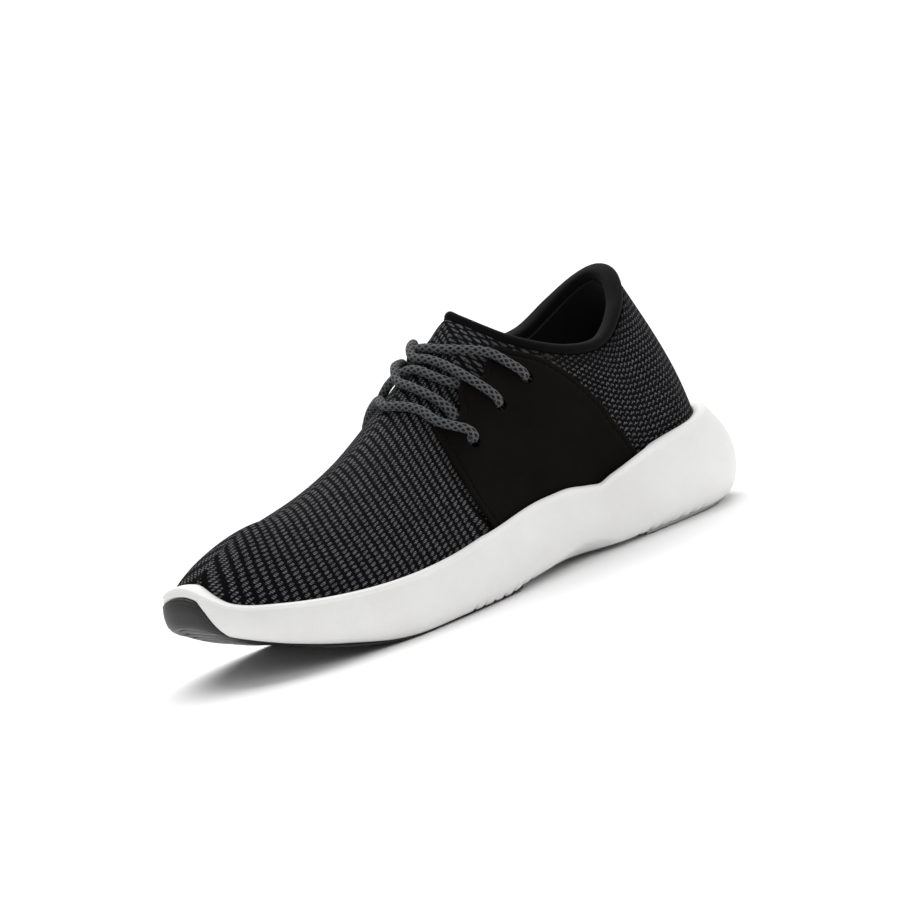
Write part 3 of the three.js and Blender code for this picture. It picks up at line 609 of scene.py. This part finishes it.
# Sizes in millimetres; smoothing is how many times the route is evened out
laceFacts = dict(diameter=4.0, segments=24, stepLong=0.55, netProud=0.16, smoothing=45,
                 followEvery=8)
eyelets = dict(front=(6.02, 0.4), mid=(5.4, 0.555), rear=(4.9, 0.76))
gap, liningThick, foamOut = 0.3, 0.9, 1.7
panelThick, stayThick, flapRise = 1.2, 0.6, 2.4
underRun = 1.35  # the lace's height over the skin under a panel, and then over it
overRun = 2 * gap + stayThick + panelThick + flapRise + gap + 2


def spot(place):
    side, q, t, height, _ = place
    return over(np.array(q if side > 0 else around - q), np.array(t), height)


def eyeletTurn(side, eyelet, toward):
    q, t = eyelet
    reach = np.linalg.norm(spot((side, *eyelet, 0, 0)) - spot((side, *toward, 0, 0)))

    def step(mm):
        return q + (toward[0] - q) * mm / reach, t + (toward[1] - t) * mm / reach

    middle = (underRun + overRun) / 2
    return [(side, *step(6), underRun, 1), (side, *step(2.6), underRun + 0.3, 0.8),
            (side, *step(0), middle, 0), (side, *step(2.6), overRun - 0.2, 0),
            (side, *step(6), overRun, 0)]


# The lace's way, as (side, q, t, height over the skin, how flat it is pressed): from under the
# outer panel's rear eyelet through all six eyelets to under the inner panel's rear one.
def laceRoute():
    low, high = 2.5, overRun
    front, mid, rear = (eyelets[k] for k in ("front", "mid", "rear"))

    def run(side, *places):
        return [(side, *place, *([0] if len(place) == 3 else [])) for place in places]

    return [
        *eyeletTurn(1, rear, (5.3, 0.8)),
        *run(1, (5.4, 0.79, high), (5.7, 0.76, 5), (6.14, 0.78, low + 0.3), (6.39, 0.87, low),
             (6.55, 1, low)),
        *run(-1, (6.35, 0.84, low), (6.05, 0.72, low), (5.8, 0.65, 1.5, 0.9)),
        *eyeletTurn(-1, mid, (5.6, 0.61)),
        *run(-1, (6, 0.69, 5.4), (6.5, 0.79, 4.9), (6.85, 0.89, 4.9)),
        *run(1, (7.15, 1, 2.8), (7.1, 0.9, low), (6.92, 0.77, low), (6.65, 0.66, low),
             (6.45, 0.59, 1.9, 0.6), (6.3, 0.54, 1.4, 1)),
        *eyeletTurn(1, front, (6.25, 0.46)),
        *run(1, (6.35, 0.48, 5.7), (6.8, 0.585, 4.7), (7, 0.68, 3.2), (7.34, 0.83, 2.3),
             (7.52, 1, 2.3)),
        *run(-1, (7.3, 0.88, 2.2), (6.9, 0.72, 2.4), (6.6, 0.6, 4.3), (6.35, 0.48, 5.7)),
        *eyeletTurn(-1, front, (6.25, 0.46))[::-1],
        *run(-1, (6.3, 0.54, 1.4, 1), (6.45, 0.59, 1.9, 0.6), (6.6, 0.66, low),
             (6.9, 0.85, low)),
        *run(1, (6.95, 1, low), (6.85, 0.92, low), (6.54, 0.74, low), (6.29, 0.66, low),
             (6.15, 0.63, 1.8, 0.6), (5.95, 0.61, 1.4, 1)),
        *eyeletTurn(1, mid, (5.6, 0.58)),
        *run(1, (5.83, 0.6, high), (6.1, 0.65, 5.6), (6.4, 0.78, 3), (6.62, 0.89, 2.8),
             (6.75, 1, 2.8)),
        *run(-1, (6.5, 0.9, 4.6), (6, 0.78, 5.4), (5.4, 0.77, high)),
        *eyeletTurn(-1, rear, (5.3, 0.8))[::-1],
    ]


def followSkin(places, every):
    result = [places[0]]
    for start, end in zip(places, places[1:]):
        side = start[0] if start[2] < 1 else end[0]
        count = max(1, round(float(np.linalg.norm(spot(start) - spot(end))) / every))
        for j in range(1, count + 1):
            mix = [a + (b - a) * j / count for a, b in zip(start[1:], end[1:])]
            result.append((end[0] if j == count else side, *mix))
    return result


# A centripetal spline through the points, at even steps along it.
def smoothPath(points, extra, step):
    ends = [2 * points[0] - points[1], *points, 2 * points[-1] - points[-2]]
    made, carried = [], []
    for k in range(len(points) - 1):
        p = ends[k:k + 4]
        knots = np.cumsum([0, *[max(np.linalg.norm(b - a), 1e-6) ** 0.5
                                for a, b in zip(p, p[1:])]])
        for s in np.linspace(knots[1], knots[2], 24, endpoint=False):
            level = list(p)
            for spans in (((0, 1), (1, 2), (2, 3)), ((0, 2), (1, 3)), ((1, 2),)):
                level = [((knots[j] - s) * level[i] + (s - knots[k]) * level[i + 1])
                         / (knots[j] - knots[k]) for i, (k, j) in enumerate(spans)]
            made.append(level[0])
            f = (s - knots[1]) / (knots[2] - knots[1])
            carried.append(extra[k] * (1 - f) + extra[k + 1] * f)
    made.append(points[-1])
    carried.append(extra[-1])
    made = np.array(made)
    length = runAlong(made)
    even = np.linspace(0, length[-1], round(length[-1] / step) + 1)
    line = np.stack([np.interp(even, length, made[:, k]) for k in range(3)], -1)
    return line, np.interp(even, length, carried)


def makeLace(facts):
    places = followSkin(laceRoute(), facts["followEvery"])
    line, flat = smoothPath([spot(p) for p in places], [p[4] for p in places], facts["stepLong"])
    for _ in range(facts["smoothing"]):
        line[1:-1] = (line[:-2] + 2 * line[1:-1] + line[2:]) / 4
    along = runAlong(line)
    run = unit(np.gradient(line, axis=0))
    slope = np.array([0.82, 0, -0.57])
    wide = unit(slope - run * (run @ slope)[:, None])
    tall = np.cross(wide, run)
    turn = np.linspace(0, 1, facts["segments"] + 1)
    angle = 2 * np.pi * turn
    cell, turns = laceLook["cell"], laceLook["turns"]
    net = np.zeros((len(line), len(turn)))
    for sign in (1, -1):
        wave = np.abs(np.mod(turns * turn[None] + sign * along[:, None] / cell, 1) - 0.5)
        net = np.maximum(net, 1 - ease(wave, 0.12, 0.3))
    radius = facts["diameter"] / 2 + facts["netProud"] * (net - 0.6)
    a = radius * (1 + 0.3 * flat[:, None])
    b = radius * (1 - 0.5 * flat[:, None])
    tube = (line[:, None] + wide[:, None] * (np.cos(angle) * a)[..., None]
            + tall[:, None] * (np.sin(angle) * b)[..., None])
    uv = (np.broadcast_to(turn, net.shape), np.broadcast_to(along[:, None], net.shape))
    grids = [gridOf(tube, uv)]
    blank = np.zeros((2, len(turn)))
    for end, k in ((tube[0], 0), (tube[-1], -1)):
        centre = np.broadcast_to(line[k], end.shape)
        grids.append(gridOf(np.stack([end, centre]), (blank, blank)))
    piece = finishPiece(makeMesh("braidedLace", grids), "shoe", "lace_cord", looks["lace"], "lace")
    path = toFrame(line)
    print("lace length in mm", round(float(along[-1]), 1))


makeLace(laceFacts)


def lengthDown(points):
    step = np.linalg.norm(np.diff(points, axis=1), axis=-1)
    run = np.concatenate([np.zeros((len(points), 1)), np.cumsum(step, axis=1)], axis=1)
    return run[:, -1:] - run


knitFacts = dict(columns=480, rows=56, thick=1.4)


def makeKnit(facts):
    q = np.linspace(0, around, facts["columns"] + 1)[:, None]
    t = np.linspace(0, 1, facts["rows"])[None]
    outer, inner = over(q, t, 0), over(q, t, -facts["thick"])
    r, down = fromSide(q), lengthDown(outer)
    frontLean = (0.4 * down - 0.003 * down ** 2) * ease(r, 5, 6.5)
    rearLean = 0.33 * (outer[..., 2] - 60) * (1 - ease(r, 4.5, 6.5))
    lean = outer[..., 0] - frontLean - rearLean
    rearRun = runAlong(skin(q[:, 0], 0.5))
    rearRun = np.minimum(rearRun, rearRun[-1] - rearRun)[:, None]
    light = (1 - 0.55 * ease(t, 0.86, 0.97) * (1 - ease(r, 5, 5.8))) + 0.1 * ease(t, 0.6, 0.9)
    uvs = ((lean, down), (rearRun, down), (ease(r, 4.0, 4.8), light))
    outside, inside = gridOf(outer, *uvs), gridOf(inner, *uvs)
    grids = [outside, inside, *closing(outside, inside, ("low",)),
             *collarRims(q[:, 0], outside, inside)]
    piece = makeMesh("knitUpper", grids, ("front", "rear", "zone"))
    finishPiece(piece, "shoe", "knit", looks["knit"], "vamp_knit", "quarter_knit")


makeKnit(knitFacts)


# What is inside the knit: the lining follows the pads' depths.
padFacts = dict(collarThick=3.8, tongueThick=2.6)
liningFacts = dict(columns=360, rows=44)


def collarDepth(q, t):
    return foamOut + 1.6 + (padFacts["collarThick"] - 1.6) * ease(t, 0.42, 0.55)


def tongueDepth(q, t):
    full = ease(t, 0.68, 0.9) * (1 - ease(fromSide(q), 7.6, 8.8))
    return foamOut + 1.1 + (padFacts["tongueThick"] - 1.1) * full


def padDepth(q, t):
    share = ease(fromSide(q), 4.6, 5.4)
    return collarDepth(q, t) * (1 - share) + tongueDepth(q, t) * share


def makeLining(facts):
    q = np.linspace(0, around, facts["columns"] + 1)[:, None]
    t = np.linspace(0, 1, facts["rows"])[None]
    deep = padDepth(q, t) + gap
    outer, inner = over(q, t, -deep), over(q, t, -deep - liningThick)
    uv = (np.broadcast_to(q * stationLong, deep.shape), lengthDown(outer))
    outside, inside = gridOf(outer, uv), gridOf(inner, uv)
    grids = [outside, inside, *closing(outside, inside, ("low",)),
             *collarRims(q[:, 0], outside, inside)]
    piece = makeMesh("knitLining", grids)
    finishPiece(piece, "shoe", "lining", looks["lining"], "quarter_lining", "vamp_lining")


makeLining(liningFacts)


# A pad between two depths under the skin, thinned and rounded towards its edges.
def makePad(qs, ts, deep):
    q, t = qs[:, None], ts[None]
    a = np.minimum((q - q[0]), (q[-1] - q)) / (q[-1] - q[0])
    b = np.minimum((t - t[0, 0]), (t[0, -1] - t)) / (t[0, -1] - t[0, 0])
    full = np.sqrt(1 - (1 - np.clip(a / 0.06, 0, 1)) ** 2) * np.sqrt(
        1 - (1 - np.clip(b / 0.12, 0, 1)) ** 2)
    low, high = np.full(full.shape, foamOut), deep(q, t)
    middle, half = (low + high) / 2, (high - low) / 2 * (0.15 + 0.85 * full)
    return over(q, t, -(middle - half)), over(q, t, -(middle + half))


def padGrids(outer, inner):
    outside, inside = gridOf(outer), gridOf(inner)
    return [outside, inside, *closing(outside, inside)]


def makePads():
    collar = makeMesh("collarPad", padGrids(*makePad(
        np.linspace(-4.8, 4.8, 200), np.linspace(0.42, 1, 26), collarDepth)))
    finishPiece(collar, "shoe", "padding", looks["padding"], "collar_foam")
    grids = []
    for low, high in ((5.3, 8.15), (around - 8.15, around - 5.3)):
        grids += padGrids(*makePad(np.linspace(low, high, 70), np.linspace(0.68, 0.995, 20),
                                   tongueDepth))
    tonguePad = makeMesh("tonguePad", grids)
    finishPiece(tonguePad, "shoe", "padding", looks["padding"], "tongue_foam")


makePads()


# The insole: a moulded pad with a cupped edge and a soft crown, cover and foam in one.
insoleFacts = dict(thick=5.1, columns=240)


def makeInsole(facts):
    qs = np.linspace(0, around, facts["columns"] + 1)
    floorAt = loopAt(qs, loopTable)[:, 3]
    low, high = 1.2 + 2 * gap, 1.2 + 2 * gap + facts["thick"]

    def ring(height, extra):
        depth = padDepth(qs, 0) + gap + liningThick + 1.0 + extra
        p = over(qs, tAtHeight(qs, floorAt + high, -depth), -depth)
        p[:, 2] = floorAt + height
        return p

    rings = [ring(low, 0.8), ring(low + 0.3, 0.2)]
    rings += [ring(low + f * (facts["thick"] - 0.6), 0) for f in (0.3, 0.6, 0.85)]
    rings += [ring(high - 0.35, 0.25), ring(high, 1.0), ring(high - 0.25, 2.4),
              ring(high - 0.8, 5)]
    piece = makeMesh("insole", ringsToGrids(rings, (24, 40)))
    finishPiece(piece, "insole", "insole_top", looks["insoleTop"], "insole_foam", "insole_cover")


makeInsole(insoleFacts)


# The padded band on the collar's edge: a squashed ring swept along it, with fine ribs across.
bindingFacts = dict(wide=8.2, tall=5.2, outside=1.2, count=420, section=28)


def collarPoint(c):
    return loopAt(np.mod(c, 2 * tongue), collarTable)


def makeBinding(facts):
    c = np.linspace(0, 2 * tongue, facts["count"] + 1)
    q = np.where(c <= tongue, c, around - (2 * tongue - c))
    along = unit(collarPoint(c + 0.02) - collarPoint(c - 0.02))
    out = sideways(q, np.full(q.shape, 0.93))
    out = unit(out - along * (out * along).sum(-1, keepdims=True))
    for _ in range(10):
        out[0] = out[-1] = (out[0] + out[-1]) / 2
        out[1:-1] = (out[:-2] + 2 * out[1:-1] + out[2:]) / 4
    out = unit(out - along * (out * along).sum(-1, keepdims=True))
    up = np.cross(along, out)
    up = np.where(up[:, 2:3] < 0, -up, up)
    centre = collarPoint(c) + out * (facts["outside"] - facts["wide"] / 2) \
        + up * (gap + facts["tall"] / 2)
    turn = np.linspace(0, 1, facts["section"] + 1)
    angle = 2 * np.pi * turn

    def squash(v):
        return np.sign(v) * np.abs(v) ** 0.82

    x, y = squash(np.cos(angle)) * facts["wide"] / 2, squash(np.sin(angle)) * facts["tall"] / 2
    seamDip = 0.35 * hump(np.mod(turn - 0.9, 1), 0.02, 0.03)
    tube = centre[:, None] + out[:, None] * (x * (1 - seamDip / 4))[None, :, None] \
        + up[:, None] * (y * (1 - seamDip / 3))[None, :, None]
    uv = (np.broadcast_to(runAlong(centre)[:, None], tube.shape[:2]),
          np.broadcast_to(turn * 20, tube.shape[:2]))
    piece = makeMesh("collarBand", [gridOf(tube, uv)])
    finishPiece(piece, "shoe", "collar_tape", looks["tape"], "collar_binding")


makeBinding(bindingFacts)
print("upper and inside made")


# Sizes in millimetres; the edges are given as station and height up the side.
panelFacts = dict(columns=150, rows=100, low=1.25, thick=panelThick, edge=0.7, bottom=-1.6,
                  holeRadius=2.9, holeDeep=16)
panelEdges = dict(
    front=[(6.05, 0.0), (5.95, 0.09), (6.2, 0.2), (6.45, 0.33), (6.7, 0.47), (6.85, 0.58)],
    back=[(3.12, 0.0), (3.15, 0.07), (3.39, 0.38), (3.85, 0.76), (4.56, 0.955), (5.33, 0.89)],
    throat=[(6.85, 0.58), (6.55, 0.535), (6.21, 0.5), (6.17, 0.565), (6.12, 0.6), (5.85, 0.62),
            (5.58, 0.65), (5.54, 0.7), (5.5, 0.725), (5.42, 0.82), (5.33, 0.89)])


def alongPath(path, f, rounds):
    points = np.array(path, float)
    for _ in range(rounds):
        cut = [points[0]]
        for a, b in zip(points, points[1:]):
            cut += [a * 0.75 + b * 0.25, a * 0.25 + b * 0.75]
        points = np.array([*cut, points[-1]])
    run = runAlong(points * (stationLong, sideTall))
    run /= run[-1]
    return np.stack([np.interp(f, run, points[:, k]) for k in (0, 1)], -1)


def makePanel(side, name, nodes):
    facts = panelFacts
    a, b = np.linspace(0, 1, facts["columns"]), np.linspace(0, 1, facts["rows"])
    front, back = (alongPath(panelEdges[k], b, 3) for k in ("front", "back"))
    throat = alongPath(panelEdges["throat"], a, 2)
    bottomQ = front[0, 0] + (back[0, 0] - front[0, 0]) * a
    lowT = tAtHeight(bottomQ, lipAt(bottomQ) + facts["bottom"], 1.3)
    front[:, 1] = np.maximum(front[:, 1], lowT[0])
    back[:, 1] = np.maximum(back[:, 1], lowT[-1])
    bottom = np.stack([bottomQ, lowT], -1)
    m, n = a[:, None, None], b[None, :, None]
    corners = ((1 - m) * (1 - n) * front[0] + m * (1 - n) * back[0]
               + (1 - m) * n * front[-1] + m * n * back[-1])
    place = ((1 - m) * front[None] + m * back[None] + (1 - n) * bottom[:, None]
             + n * throat[:, None] - corners)
    q, t = place[..., 0], place[..., 1]
    flat = skin(q, t)
    sewn = np.concatenate([flat[0], flat[1:, -1], flat[-1, ::-1][1:]])
    run = runAlong(sewn)
    far = np.linalg.norm(flat.reshape(-1, 1, 3) - sewn[None], axis=-1)
    near = far.argmin(1)
    off = far.min(1).reshape(q.shape)
    if side < 0:
        q = around - q
    rise = flapRise * ease(place[..., 1], 0.36, 0.6) * ease(6.9 - place[..., 0], 0.1, 0.7)
    soft = np.sqrt(1 - (1 - np.clip(off / facts["edge"], 0, 1)) ** 2)
    sunk = 0.22 * hump(off, panelLook["stitchIn"], 0.55)
    tuck = 1 - ease(b, 0, 0.05)
    top = facts["low"] + rise + facts["thick"] * (0.35 + 0.65 * soft) - sunk - 0.4 * tuck
    foot = facts["low"] + rise + 0.25 * (1 - soft) - 0.6 * tuck
    uv = (run[near].reshape(q.shape), off)
    outer, inner = gridOf(over(q, t, top), uv), gridOf(over(q, t, foot), uv)
    piece = makeMesh(name, [outer, inner, *closing(outer, inner)])
    for eyelet in eyelets.values():
        at = np.array(eyelet[0] if side > 0 else around - eyelet[0]), np.array(eyelet[1])
        direction = Vector(outward(*at).ravel())
        bpy.ops.object.select_all(action="DESELECT")
        bpy.ops.mesh.primitive_cylinder_add(
            vertices=40, radius=facts["holeRadius"] / 1000, depth=facts["holeDeep"] / 1000,
            location=toFrame(over(*at, 3).ravel()),
            rotation=direction.to_track_quat("Z", "Y").to_euler())
        pin = bpy.context.object
        applyModifier(piece, "BOOLEAN", operation="DIFFERENCE", object=pin, solver="EXACT")
        bpy.data.objects.remove(pin)
    finishPiece(piece, "shoe", "panel_leather", looks["panel"], *nodes)


makePanel(1, "outerPanel", ["lateral_panel", "lateral_eyestay"])
makePanel(-1, "innerPanel", ["medial_panel", "medial_eyestay"])
print("panels made")


soleFacts = dict(columns=720, grooveGap=0.5, panelRoom=2.4)


def makeMidsole(facts):
    q = np.linspace(0, around, facts["columns"] + 1)
    row = loopAt(q, loopTable)
    lip, floorAt, sole = lipAt(q), row[:, 3], row[:, 4]
    r, out = fromSide(q), away(q)
    panelRoom = facts["panelRoom"] * ease(r, 2.95, 3.15) * (1 - ease(r, 6.1, 6.3))

    def groove(share, extra=0.0):
        z = floorAt + share * (lip - floorAt)
        wide = facts["grooveGap"] + panelRoom * ease(share, 0.3, 0.7)
        p = over(q, tAtHeight(q, z, wide), wide)
        p[:, 2] = z + extra
        return p

    base = soleWall(q, 0) - out * 3
    base[:, 2] = sole
    vs = [0, 0.015, 0.03, 0.05, 0.08, 0.12, 0.16, 0.2, 0.25, 0.3, 0.36, 0.42, 0.48, 0.54, 0.6,
          0.64, 0.68, 0.72, 0.76, 0.8, 0.84, 0.88, 0.91, 0.94, 0.96, 0.98, 0.99]
    rings = [base, *[soleWall(q, v) for v in vs]]
    edge, inside = soleWall(q, 1), groove(1, -0.4)
    for f, lift in ((0.0, 0.1), (0.2, 0.55), (0.45, 0.7), (0.7, 0.55), (0.9, 0.2)):
        p = edge * (1 - f) + inside * f
        p[:, 2] = lip - 0.2 + lift - 0.3 * f
        rings.append(p)
    rings += [inside, groove(0.75), groove(0.5), groove(0.25)]
    bed = over(q, np.zeros_like(q), facts["grooveGap"])
    bed[:, 2] = floorAt - gap
    rings.append(bed)
    piece = makeMesh("midsole", ringsToGrids(rings, (24, 16)))
    finishPiece(piece, "shoe", "midsole_foam", looks["midsole"], "midsole")


makeMidsole(soleFacts)

treadFacts = dict(pitch=6.3, deep=1.0, land=0.68, thick=1.6, ribPitch=3.0, ribDeep=0.35,
                  wallTall=40, rows=22)


# A tread: each row runs down the wall on one side, across underneath and up the other wall.
def makeTread(name, qs, slotName, look, node, foldFirst, edgeOut):
    facts, grid = treadFacts, [[], []]
    rows = facts["rows"]
    shares = np.linspace(1, 0, rows)
    for q in qs:
        outerRow, innerRow = [], []
        for p, mirror in ((q, False), (around - q, True)):
            rise = float(climbAt(p))
            v = shares * rise
            out = away(np.array(p))
            shift = edgeOut(p)
            face = wall(np.full(v.shape, p), v)
            wave = np.cos(2 * np.pi * v * facts["wallTall"] / facts["ribPitch"])
            ribs = facts["ribDeep"] * (0.5 - 0.5 * wave) * (rise > 0.1) * ease(v, 0.05, 0.1) \
                * ease(rise - v, 0.03, 0.08)
            lip = 0.7 * (1 - ease(rise - v, 0, 0.03)) * (rise > 0.1)
            outside = face + out * (shift + 0.2 * (rise > 0.1) - ribs - lip)[:, None]
            inside = face + out * (shift - 1.5)
            drop = facts["thick"] + 0.4 - 1.5 * float(ease(fromSide(np.array(p)), 9, 10.6))
            outside[:, 2] -= drop * (1 - ease(v, 0, 0.12)) * 0.8
            foot = wall(np.array(p), 0)
            bottom = foot + out * (shift - 0.7)
            bottom[2] -= drop
            under = foot - out * 3
            under[2] -= drop
            inBottom, inUnder = foot + out * (shift - 1.6), foot - out * 3
            inBottom[2] -= 0.1
            inUnder[2] -= 0.1
            outerPart = [*outside, bottom, under]
            innerPart = [*inside, inBottom, inUnder]
            if not mirror:
                outerRow, innerRow = outerPart, innerPart
            else:
                steps = np.linspace(0, 1, rows)[1:-1]
                for line, part in ((outerRow, outerPart), (innerRow, innerPart)):
                    line += [line[len(outerPart) - 1] * (1 - s) + part[-1] * s for s in steps]
                    line += part[::-1]
        grid[0].append(outerRow)
        grid[1].append(innerRow)
    outer, inner = np.array(grid[0]), np.array(grid[1])
    bottomBand = np.zeros(outer.shape[1], bool)
    bottomBand[rows + 1:-rows - 1] = True
    wave = np.mod(outer[..., 0] / facts["pitch"], 1)
    sink = facts["deep"] * (ease(wave, facts["land"], facts["land"] + 0.12)
                            * (1 - ease(wave, 0.88, 1.0))) * bottomBand
    outer[..., 2] += sink
    outer[..., 2] = np.maximum(outer[..., 2], 0)
    inner[..., 2] = np.maximum(inner[..., 2], 0.3)
    outside, inside = gridOf(outer), gridOf(inner)
    sides = ("low", "high", "last" if foldFirst else "first")
    piece = makeMesh(name, [outside, inside, *closing(outside, inside, sides)])
    finishPiece(piece, "shoe", slotName, look, node)


def frontEdge(p):
    r = float(fromSide(np.array(p)))
    return -1.6 + 1.5 * float(ease(r, 7.2, 8.0))


makeTread("forefootTread", np.linspace(5.66, 12, 230), "tread_rubber", looks["tread"],
          "outsole_forefoot", False, frontEdge)
makeTread("heelTread", np.linspace(0, 3.34, 130), "heel_rubber", looks["heelTread"],
          "outsole_heel", True, lambda p: -3.2)
print("sole made")

# The hidden layers keep their shape and take a real finish.
hiddenLayers = dict(strobel_board="board", heel_counter="stiffener", toe_puff="stiffener",
                    lace_tip_lateral="stiffener", lace_tip_medial="stiffener")
for node, key in hiddenLayers.items():
    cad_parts[node].data.materials.clear()
    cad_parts[node].data.materials.append(looks[key])
print("hidden layers finished")


studio = dict(floor="#fdfdfd", world=0.42, key=17, fill=9, sun=2.6, sunAngle=55)


def addFloor(facts):
    material, put, lead = newMaterial("paintedStudioFloor", Roughness=0.7,
                                      Specular_IOR_Level=0.1)
    grain = put("TexNoise", Vector=put("TexCoord").node.outputs["Object"], Scale=4.0, Detail=2.0)
    lead(put("Mix", blend, Factor=grain, i6=facts["floor"], i7="#ffffff"), "Base Color")
    bpy.ops.object.select_all(action="DESELECT")
    bpy.ops.mesh.primitive_plane_add(size=30, location=(0, 0, -0.0002))
    ground = bpy.context.object
    ground.name = "studioFloor"
    bpy.ops.object.transform_apply(location=True, rotation=True, scale=True)
    ground.data.materials.append(material)


def addLight(name, place, size, power, aim=(0, 0, 0.05)):
    data = bpy.data.lights.new(name, "AREA")
    data.shape = "DISK"
    data.size, data.energy = size, power
    lamp = bpy.data.objects.new(name, data)
    bpy.context.collection.objects.link(lamp)
    lamp.location = place
    lamp.rotation_euler = (Vector(aim) - Vector(place)).to_track_quat("-Z", "Y").to_euler()


addFloor(studio)
world = bpy.data.worlds.new("studio")
bpy.context.scene.world = world
world.use_nodes = True
world.node_tree.nodes["Background"].inputs[0].default_value = (1, 1, 1, 1)
world.node_tree.nodes["Background"].inputs[1].default_value = studio["world"]
addLight("key", (1.2, 2.6, 1.9), 2.2, studio["key"])
addLight("fill", (-2.4, 1.2, 1.6), 2.0, studio["fill"])
sun = bpy.data.objects.new("overhead", bpy.data.lights.new("overhead", "SUN"))
sun.data.energy, sun.data.angle = studio["sun"], math.radians(studio["sunAngle"])
sun.rotation_euler = Vector((-0.3, -0.5, 1)).to_track_quat("Z", "Y").to_euler()
bpy.context.collection.objects.link(sun)
bpy.context.scene.view_settings.view_transform = "Standard"
print("studio ready")
